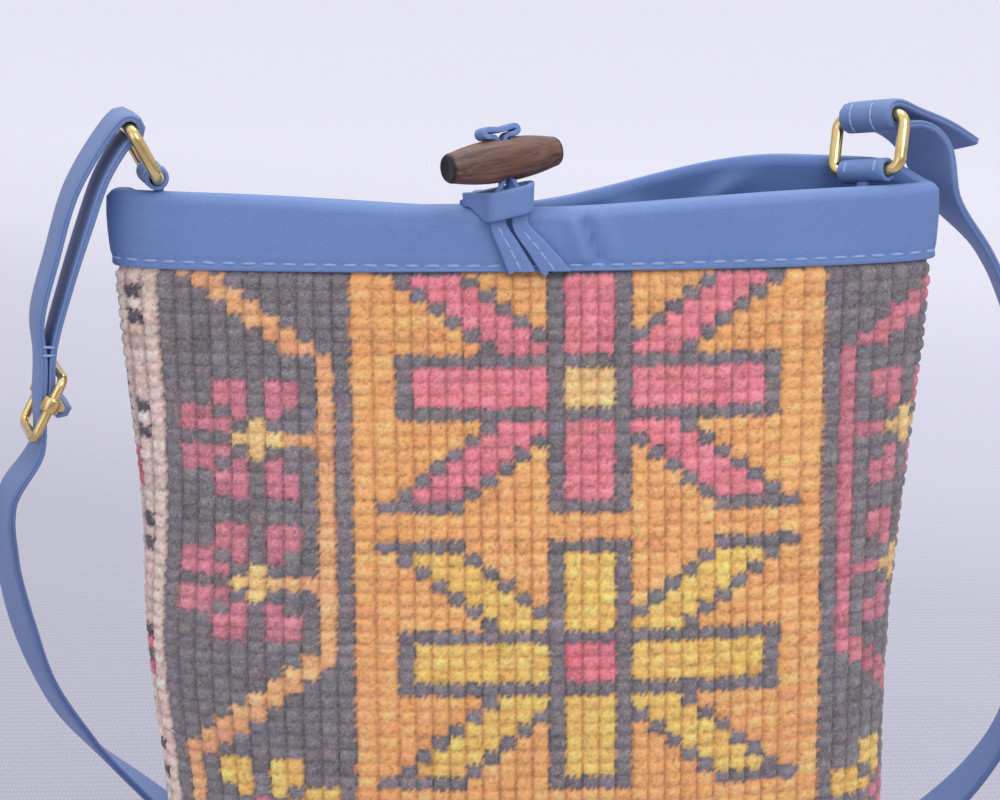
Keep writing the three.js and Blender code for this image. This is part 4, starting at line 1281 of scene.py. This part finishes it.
# Rings, tabs and slider
def wire_ring(width, height, corner, wire, sides=16, arc_steps=9):
    """A closed ring of round wire along a rounded rectangle in the local YZ plane."""
    rows = []
    for sy, sz, start in ((1, 1, 0), (-1, 1, 90), (-1, -1, 180), (1, -1, 270)):
        for k in range(arc_steps):
            turn = math.radians(start + k / (arc_steps - 1) * 90)
            out = Vector((0, math.cos(turn), math.sin(turn)))
            centre = Vector((0, sy * (width / 2 - corner), sz * (height / 2 - corner))) + out * corner
            rows.append([centre + out * (wire * math.cos(a)) - Vector((wire * math.sin(a), 0, 0))
                         for a in np.arange(sides) * 2 * math.pi / sides])
    return np.array([[list(point) for point in row] for row in rows])


def placed(points, matrix, offset):
    flat = np.asarray(points, float)
    return flat @ np.array(matrix).T + np.array(offset)


def lathe(profile, sides):
    """Closed rows round the local Z axis through a profile of radius and height."""
    turns = np.arange(sides) * 2 * math.pi / sides
    return np.array([[(r * math.cos(a), r * math.sin(a), z) for a in turns] for r, z in profile])


def mirrored(profile):
    """The first half of a profile, up to its middle point, and its mirror image."""
    return profile + [(r, -z) for r, z in profile[-2::-1]]


def sleeve_profile(bore, outside, half, chamfer, edge, crown):
    """A sleeve's closed section: chamfered inside, rounded outside, with the points of its crown."""
    profile = [(bore, -half + chamfer), (bore + chamfer, -half), (outside - edge, -half)]
    for turn in (0.5, 1.05, 1.57):
        profile.append((outside - edge + edge * math.sin(turn), -half + edge - edge * math.cos(turn)))
    return mirrored(profile + crown)


def add_ring(name, place, matrix, node):
    points = wire_ring(RING_WIDTH, RING_HEIGHT, RING_CORNER, RING_WIRE)
    points[..., 2] += RING_HEIGHT / 2
    skin = Skin()
    skin.sweep(placed(points, matrix, place), close=True)
    dress(skin.piece(name, [brass]), node, node)


TAB_EDGE = 0.45
TAB_CHAMFER = 0.3
STEM_SIDE = 1.6
STEM_SIZE = (3.4, 2.6)
STEM_HEIGHTS = (-3.0, -8.0, -14.0, -21.0)
STEM_SPACING = 3.0
TAB_STITCH = (3.4, 0.8, 0.35)
TAB_STITCH_LINES = (-5.2, 5.2)


def add_tab(name, place, matrix, stem_side, node):
    """A leather strip rolled round the ring's lower bar, its ends going down into the mouth."""
    bore = RING_WIRE + FIT_GAP
    outside = bore + TAB_THICKNESS
    half = TAB_WIDTH / 2
    crown = [(outside + 0.06, -half * 0.5), (outside, 0)]
    profile = sleeve_profile(bore, outside, half, TAB_CHAMFER, TAB_EDGE, crown)
    skin = Skin()
    roll = lathe(profile, 40)[..., [0, 2, 1]].transpose(1, 0, 2)
    skin.sweep(placed(roll, matrix, place), close=True)
    edge = Vector((0, 1, 0))
    stops = [(Vector((stem_side * STEM_SIDE, 0, z)), edge, *STEM_SIZE) for z in STEM_HEIGHTS]
    stem = Route(stops, STEM_SPACING)
    skin.sweep(placed(stem.strip(2), matrix, place))
    for line in TAB_STITCH_LINES:
        for degrees in (150, 30):
            across, up = arc(outside - 0.05, degrees)
            centre = placed([[across, line, up]], matrix, place)[0]
            out = matrix @ Vector((across, 0, up))
            along = matrix @ Vector((-up, 0, across))
            skin.stitch(centre, along, out, *TAB_STITCH)
    dress(skin.piece(name, [leather, thread]), "bag", node)


SLEEVE_EDGE = 0.7
SLEEVE_CHAMFER = 0.2
SLEEVE_CROWN = 0.12


def add_slider():
    matrix = ring_matrix(LEFT_RING_TURN, 0, STRAP_LEAN + SLIDER_TILT)
    place = on_strap(SLIDER_CENTRE_ACROSS, 0)
    skin = Skin()
    points = wire_ring(2 * SLIDER_SIDE_Y, SLIDER_LENGTH, SLIDER_CORNER, SLIDER_WIRE)
    skin.sweep(placed(points, matrix, place), close=True)
    outer = skin.piece("slider_loop", [brass])
    dress(outer, "slider", "slider_frame")
    reach = SLIDER_BAR_ACROSS - SLIDER_CENTRE_ACROSS
    bar_x, bar_z = arc(reach, SLIDER_TILT)
    bore = SLIDER_WIRE + STRAP_SLACK
    crown = [(SLEEVE_RADIUS + SLEEVE_CROWN, 0)]
    profile = sleeve_profile(bore, SLEEVE_RADIUS, SLEEVE_LENGTH / 2, SLEEVE_CHAMFER, SLEEVE_EDGE, crown)
    skin = Skin()
    for side in (-1, 1):
        ring = lathe(profile, 24) + np.array([0, side * SLIDER_SIDE_Y, bar_z])
        skin.sweep(placed(ring.transpose(1, 0, 2), matrix, place), close=True)
    end = SLIDER_SIDE_Y - bore - 0.3
    bar = [(SLIDER_BAR, end * share) for share in (-1, -0.5, 0, 0.5, 1)]
    rows = lathe(bar, 18)[..., [0, 2, 1]] + np.array([bar_x, 0, bar_z])
    skin.sweep(placed(rows, matrix, place))
    inner = skin.piece("slider_crimped_bar", [brass])
    dress(inner, "slider", "slider_bar")
    return outer, inner


# Toggle, thong and closure loop
TOGGLE_AXIS = turned(turned((1, 0, 0), "Y", -TOGGLE_ROLL), "Z", TOGGLE_YAW)
THONG_THICKNESS = 1.8


def front_depth(z):
    return mix(BASE_DEPTH, MOUTH_FRONT_DEPTH, float(smooth(z, BELLY_HEIGHT, BAG_HEIGHT)))


def thong_face(z):
    return -front_depth(z) - 2 * FIT_GAP - THONG_THICKNESS / 2


NECK_AXIS = (TOGGLE_CENTRE - Vector((NECK_X, thong_face(RIM_MIDDLE), RIM_MIDDLE))).normalized()
NECK_AXIS = (NECK_AXIS - TOGGLE_AXIS * NECK_AXIS.dot(TOGGLE_AXIS)).normalized()
NECK_DEPTH = NECK_AXIS.cross(TOGGLE_AXIS)
TOGGLE_SIDES = 64
TOGGLE_SHARP = 35
# Radius past the end's radius, and depth, of the dished end and its rounded edge
TOGGLE_END = ((-1.5, 0.42), (-0.75, 0.05), (-0.2, 0.1), (0.25, 0.75))
HOLE_EDGE = 0.35


def bore_toggle(body):
    """Cuts the cross hole and rounds its edges, while the toggle still lies along its own axes."""
    skin = Skin()
    skin.sweep(lathe([(TOGGLE_HOLE, -12), (TOGGLE_HOLE, 12)], 40)[..., [2, 0, 1]])
    cutter = skin.piece("toggle_cutter", [wood])
    cut = body.modifiers.new("hole", "BOOLEAN")
    cut.object = cutter
    cut.operation = "DIFFERENCE"
    cut.solver = "EXACT"
    round_over = body.modifiers.new("edge", "BEVEL")
    round_over.width = HOLE_EDGE * MM
    round_over.segments = 2
    round_over.limit_method = "ANGLE"
    round_over.angle_limit = math.radians(50)
    graph = bpy.context.evaluated_depsgraph_get()
    mesh = bpy.data.meshes.new_from_object(body.evaluated_get(graph))
    body.modifiers.clear()
    body.data = mesh
    bpy.data.objects.remove(cutter)


def add_toggle():
    half = TOGGLE_LENGTH / 2
    profile = [(0.02, -half + 0.5)]
    profile += [(TOGGLE_END_RADIUS + past, -half + depth) for past, depth in TOGGLE_END]
    start = (TOGGLE_END_RADIUS + 0.2, -half + 1)
    bend = (TOGGLE_RADIUS, -half / 2)
    end = (TOGGLE_RADIUS, 0)
    for t in np.linspace(0.08, 1, 12):
        profile.append(tuple((1 - t) ** 2 * a + 2 * t * (1 - t) * b + t * t * c
                             for a, b, c in zip(start, bend, end)))
    rows = lathe(mirrored(profile), TOGGLE_SIDES)
    turns = np.arange(TOGGLE_SIDES) * 2 * math.pi / TOGGLE_SIDES
    uneven = 1 + 0.012 * np.sin(2 * turns + 0.6) + 0.008 * np.sin(3 * turns)
    rows[..., :2] *= uneven[None, :, None]
    skin = Skin()
    skin.sweep(rows)
    body = skin.piece("barrel_toggle", [wood], sharp=TOGGLE_SHARP)
    bore_toggle(body)
    axes = Matrix((NECK_AXIS, TOGGLE_AXIS.cross(NECK_AXIS), TOGGLE_AXIS)).transposed()
    body.data.transform(Matrix.Translation(TOGGLE_CENTRE * MM) @ axes.to_4x4())
    body.data.set_sharp_from_angle(angle=math.radians(TOGGLE_SHARP))
    dress(body, "toggle", "toggle")


# Width and thickness of the thong on its way from a foot to the bow
THONG_FOOT = (7.2, THONG_THICKNESS)
THONG_MIDDLE = (5.9, THONG_THICKNESS)
THONG_NECK = (4.6, THONG_THICKNESS)
THONG_TURN = (4.0, 1.6)
THONG_HOLE = (3.4, 1.4)
THONG_BOW = (5.2, 1.6)
THONG_SPACING = 0.7
THONG_STITCH = (3.3, 0.75, 0.32)
FOOT_Z = BAG_HEIGHT - BAND_HEIGHT + 0.6
FOOT_X = 3.3
FOOT_APART = 4.8
NECK_APART = 3.1
HOLE_APART = 1.2
HOLE_ENTRY = -0.78 * TOGGLE_RADIUS
HOLE_EXIT = 0.8 * TOGGLE_RADIUS
BOW_OUT = 4.6
BOW_UP = 1.75
BOW_TOP = 2.25


def by_hole(out, up):
    return TOGGLE_CENTRE + NECK_AXIS * up + TOGGLE_AXIS * out


def thong_half(side):
    """One leg of the thong, from its foot up through the hole and round an end of the bow."""
    upper = COLLAR_TOP - COLLAR_HEIGHT - 1
    neck_x = NECK_X + side * NECK_APART
    foot_x = FOOT_X + side * FOOT_APART
    edge = Vector((-side, 0, 0))
    middle_z = mix(FOOT_Z, upper, 0.5)
    middle = Vector((mix(foot_x, neck_x, 0.5), thong_face(middle_z) - 0.2, middle_z))
    neck_top = Vector((neck_x, thong_face(RIM_MIDDLE), RIM_MIDDLE + 1))
    turning = mix(neck_top, by_hole(side * HOLE_APART, HOLE_ENTRY), 0.5)
    stops = [
        (Vector((foot_x, thong_face(FOOT_Z), FOOT_Z)), edge, *THONG_FOOT),
        (middle, edge, *THONG_MIDDLE),
        (Vector((neck_x, thong_face(upper), upper)), edge, *THONG_NECK),
        (neck_top, edge, *THONG_NECK),
        (turning, (edge + NECK_DEPTH).normalized(), *THONG_TURN),
    ]
    in_hole = [(HOLE_APART, up) for up in (HOLE_ENTRY, 0, HOLE_EXIT)] + [(1.9, TOGGLE_RADIUS + 0.3)]
    stops += [(by_hole(side * out, up), NECK_DEPTH, *THONG_HOLE) for out, up in in_hole]
    for degrees in (-90, -45, 0, 45, 90):
        out, up = arc(1.0, degrees)
        place = by_hole(side * (BOW_OUT + out), TOGGLE_RADIUS + BOW_UP + up)
        stops.append((place, NECK_DEPTH, *THONG_BOW))
    return stops


def add_thong():
    top = (by_hole(0, TOGGLE_RADIUS + BOW_TOP), NECK_DEPTH, *THONG_BOW)
    route = Route([*thong_half(-1), top, *thong_half(1)[::-1]], THONG_SPACING)
    rows = route.strip(1)
    for end, way in ((0, 0.0), (-1, route.length)):
        tangent = route.at(way)[1]
        rows[end] += tangent * ((FOOT_Z - rows[end][:, 2:]) / tangent[2])
    skin = Skin()
    skin.sweep(rows)
    leg_length = route.stops[2]
    for start, end in ((0, leg_length), (route.length - leg_length, route.length)):
        for k in range(4):
            way = start + (k + 0.5) * (end - start) / 4
            route.sew(skin, way, (0, -1, 0), THONG_STITCH, lift=0.02)
    dress(skin.piece("leather_thong", [leather, thread]), "bag", "toggle_thong")


WING = 7.5
COLLAR_TILT = 0.23
COLLAR_HALF = 5.1
COLLAR_CORNER = 1.6
COLLAR_FLARE = 0.3
COLLAR_TUCK = 0.1
COLLAR_SHORTER = 2.0
COLLAR_TALLER = 0.8
COLLAR_LEVELS = np.linspace(0.06, 0.94, 9)
LOOP_THICKNESS = 1.8
LOOP_FRONT = thong_face(RIM_MIDDLE - COLLAR_HEIGHT) - THONG_THICKNESS / 2 - FIT_GAP - 0.4
LOOP_BACK = TOGGLE_CENTRE.y + 2.2
LOOP_OVER = max(RIM_MIDDLE, BAG_HEIGHT - BACK_RIM_DIP) + FIT_GAP
TAIL_DROPS = (3, 8, 15, 22)
TAIL_WIDTH = 15
TAIL_SPACING = 1.2
TAIL_STITCH = (STITCH_LENGTH, 0.85, 0.38)
TAIL_STITCH_LINES = (-5.4, 5.4)
TAIL_STITCHES_FROM = 14.5


def collar_outline(grow, flare, samples=10):
    """The collar from above: a rounded rectangle with a wing at its back left corner."""
    left = NECK_X - COLLAR_HALF - grow - flare
    right = NECK_X + COLLAR_HALF + grow + flare
    low = LOOP_FRONT - grow - flare * 0.6
    high = LOOP_BACK + grow
    radius = COLLAR_CORNER + grow
    points = []
    for cx, cy, start in ((right - radius, low + radius, -90), (right - radius, high - radius, 0),
                          (left + radius, high - radius, 90), (left + radius, low + radius, 180)):
        for k in range(samples):
            dx, dy = arc(radius, start + k / (samples - 1) * 90)
            x, y = cx + dx, cy + dy
            wing = WING * float(smooth(y, low + 2.5, high)) * float(smooth(NECK_X - x, -2, COLLAR_HALF))
            points.append((x - wing, y))
    return points


def add_loop():
    """A collar round the thong's neck, on a strip that comes over the rim from the back."""
    bottom = COLLAR_TOP - COLLAR_HEIGHT + COLLAR_SHORTER
    top = COLLAR_TOP + COLLAR_TALLER
    band_front = -front_depth(RIM_MIDDLE - BAND_HEIGHT) - FIT_GAP
    outline = [(1.0, t) for t in COLLAR_LEVELS] + [(0.82, 0.985), (0.5, 1.0), (0.18, 0.985)]
    outline += [(0.0, t) for t in COLLAR_LEVELS[::-1]] + [(0.18, 0.015), (0.5, 0.0), (0.82, 0.015)]
    rows = []
    for depth, share in outline:
        flare = COLLAR_FLARE * share ** 2 - COLLAR_TUCK
        row = []
        for x, y in collar_outline(LOOP_THICKNESS * depth, flare):
            behind = float(smooth(y, band_front - 0.2, band_front + 2.2))
            low = mix(bottom + COLLAR_TILT * (x - NECK_X - 2), LOOP_OVER + 0.1, behind)
            high = top + COLLAR_TILT * (max(x, NECK_X - 9) - NECK_X - 2) - 0.3 * behind
            row.append((x, y, mix(low, high, share)))
        rows.append(row)
    skin = Skin()
    skin.grid(np.array(rows).transpose(1, 0, 2), wrap_rows=True, wrap_columns=True)
    add_loop_tail(skin)
    dress(skin.piece("closing_loop", [leather, thread]), "bag", "closure_loop")


def tail_face(z):
    return float(wall(0.0, math.pi / 2, z)[1]) + 2 * FIT_GAP + LOOP_THICKNESS / 2


def add_loop_tail(skin):
    upper = LOOP_OVER + LOOP_THICKNESS / 2
    turn_y = tail_face(LOOP_OVER)
    places = [(-3.6, LOOP_BACK + 0.9, upper, 21), (-3.0, LOOP_BACK + 6, upper + 0.3, 18),
              (-2.0, turn_y - 5, upper + 0.2, 16), (-1.4, turn_y - 0.9, LOOP_OVER + 0.1, TAIL_WIDTH)]
    for drop in TAIL_DROPS:
        places.append((-1, tail_face(LOOP_OVER - drop), LOOP_OVER - drop, TAIL_WIDTH))
    edge = Vector((1, 0, 0))
    stops = [(Vector((NECK_X + x, y, z)), edge, width, LOOP_THICKNESS) for x, y, z, width in places]
    route = Route(stops, TAIL_SPACING)
    skin.sweep(route.strip(1))
    for k in range(3):
        way = route.length - TAIL_STITCHES_FROM + k * STITCH_PITCH
        for line in TAIL_STITCH_LINES:
            route.sew(skin, way, (0, 1, 0), TAIL_STITCH, aside=line)


add_camera()
add_stage()
add_sky()
add_light("key", (0.5, -0.95, 1.15), size=0.8, energy=6.5, colour=(1, 0.99, 0.97))
add_light("fill", (-0.95, -0.9, 0.55), size=0.9, energy=1.6, colour=(0.96, 0.97, 1))
add_light("top", (0.1, 0.35, 1.3), size=0.7, energy=4)
strap_facts = add_strap()
slider_pieces = add_slider()
add_rug()
add_back()
add_lining()
add_band()
add_band_stitches()
left_ring = ring_matrix(LEFT_RING_TURN, 0, LEFT_RING_LEAN)
right_ring = ring_matrix(RIGHT_RING_TURN, RIGHT_RING_ROLL, RIGHT_RING_LEAN)
left_tab = ring_matrix(LEFT_RING_TURN, 0, 0)
right_tab = ring_matrix(RIGHT_RING_TURN, RIGHT_RING_ROLL, 0)
add_ring("brass_ring_left", LEFT_RING_PLACE, left_ring, "left_ring")
add_ring("brass_ring_right", RIGHT_RING_PLACE, right_ring, "right_ring")
add_tab("ring_tab_left", LEFT_RING_PLACE, left_tab, 1, "left_ring_tab")
add_tab("ring_tab_right", RIGHT_RING_PLACE, right_tab, -1, "right_ring_tab")
add_toggle()
add_thong()
add_loop()
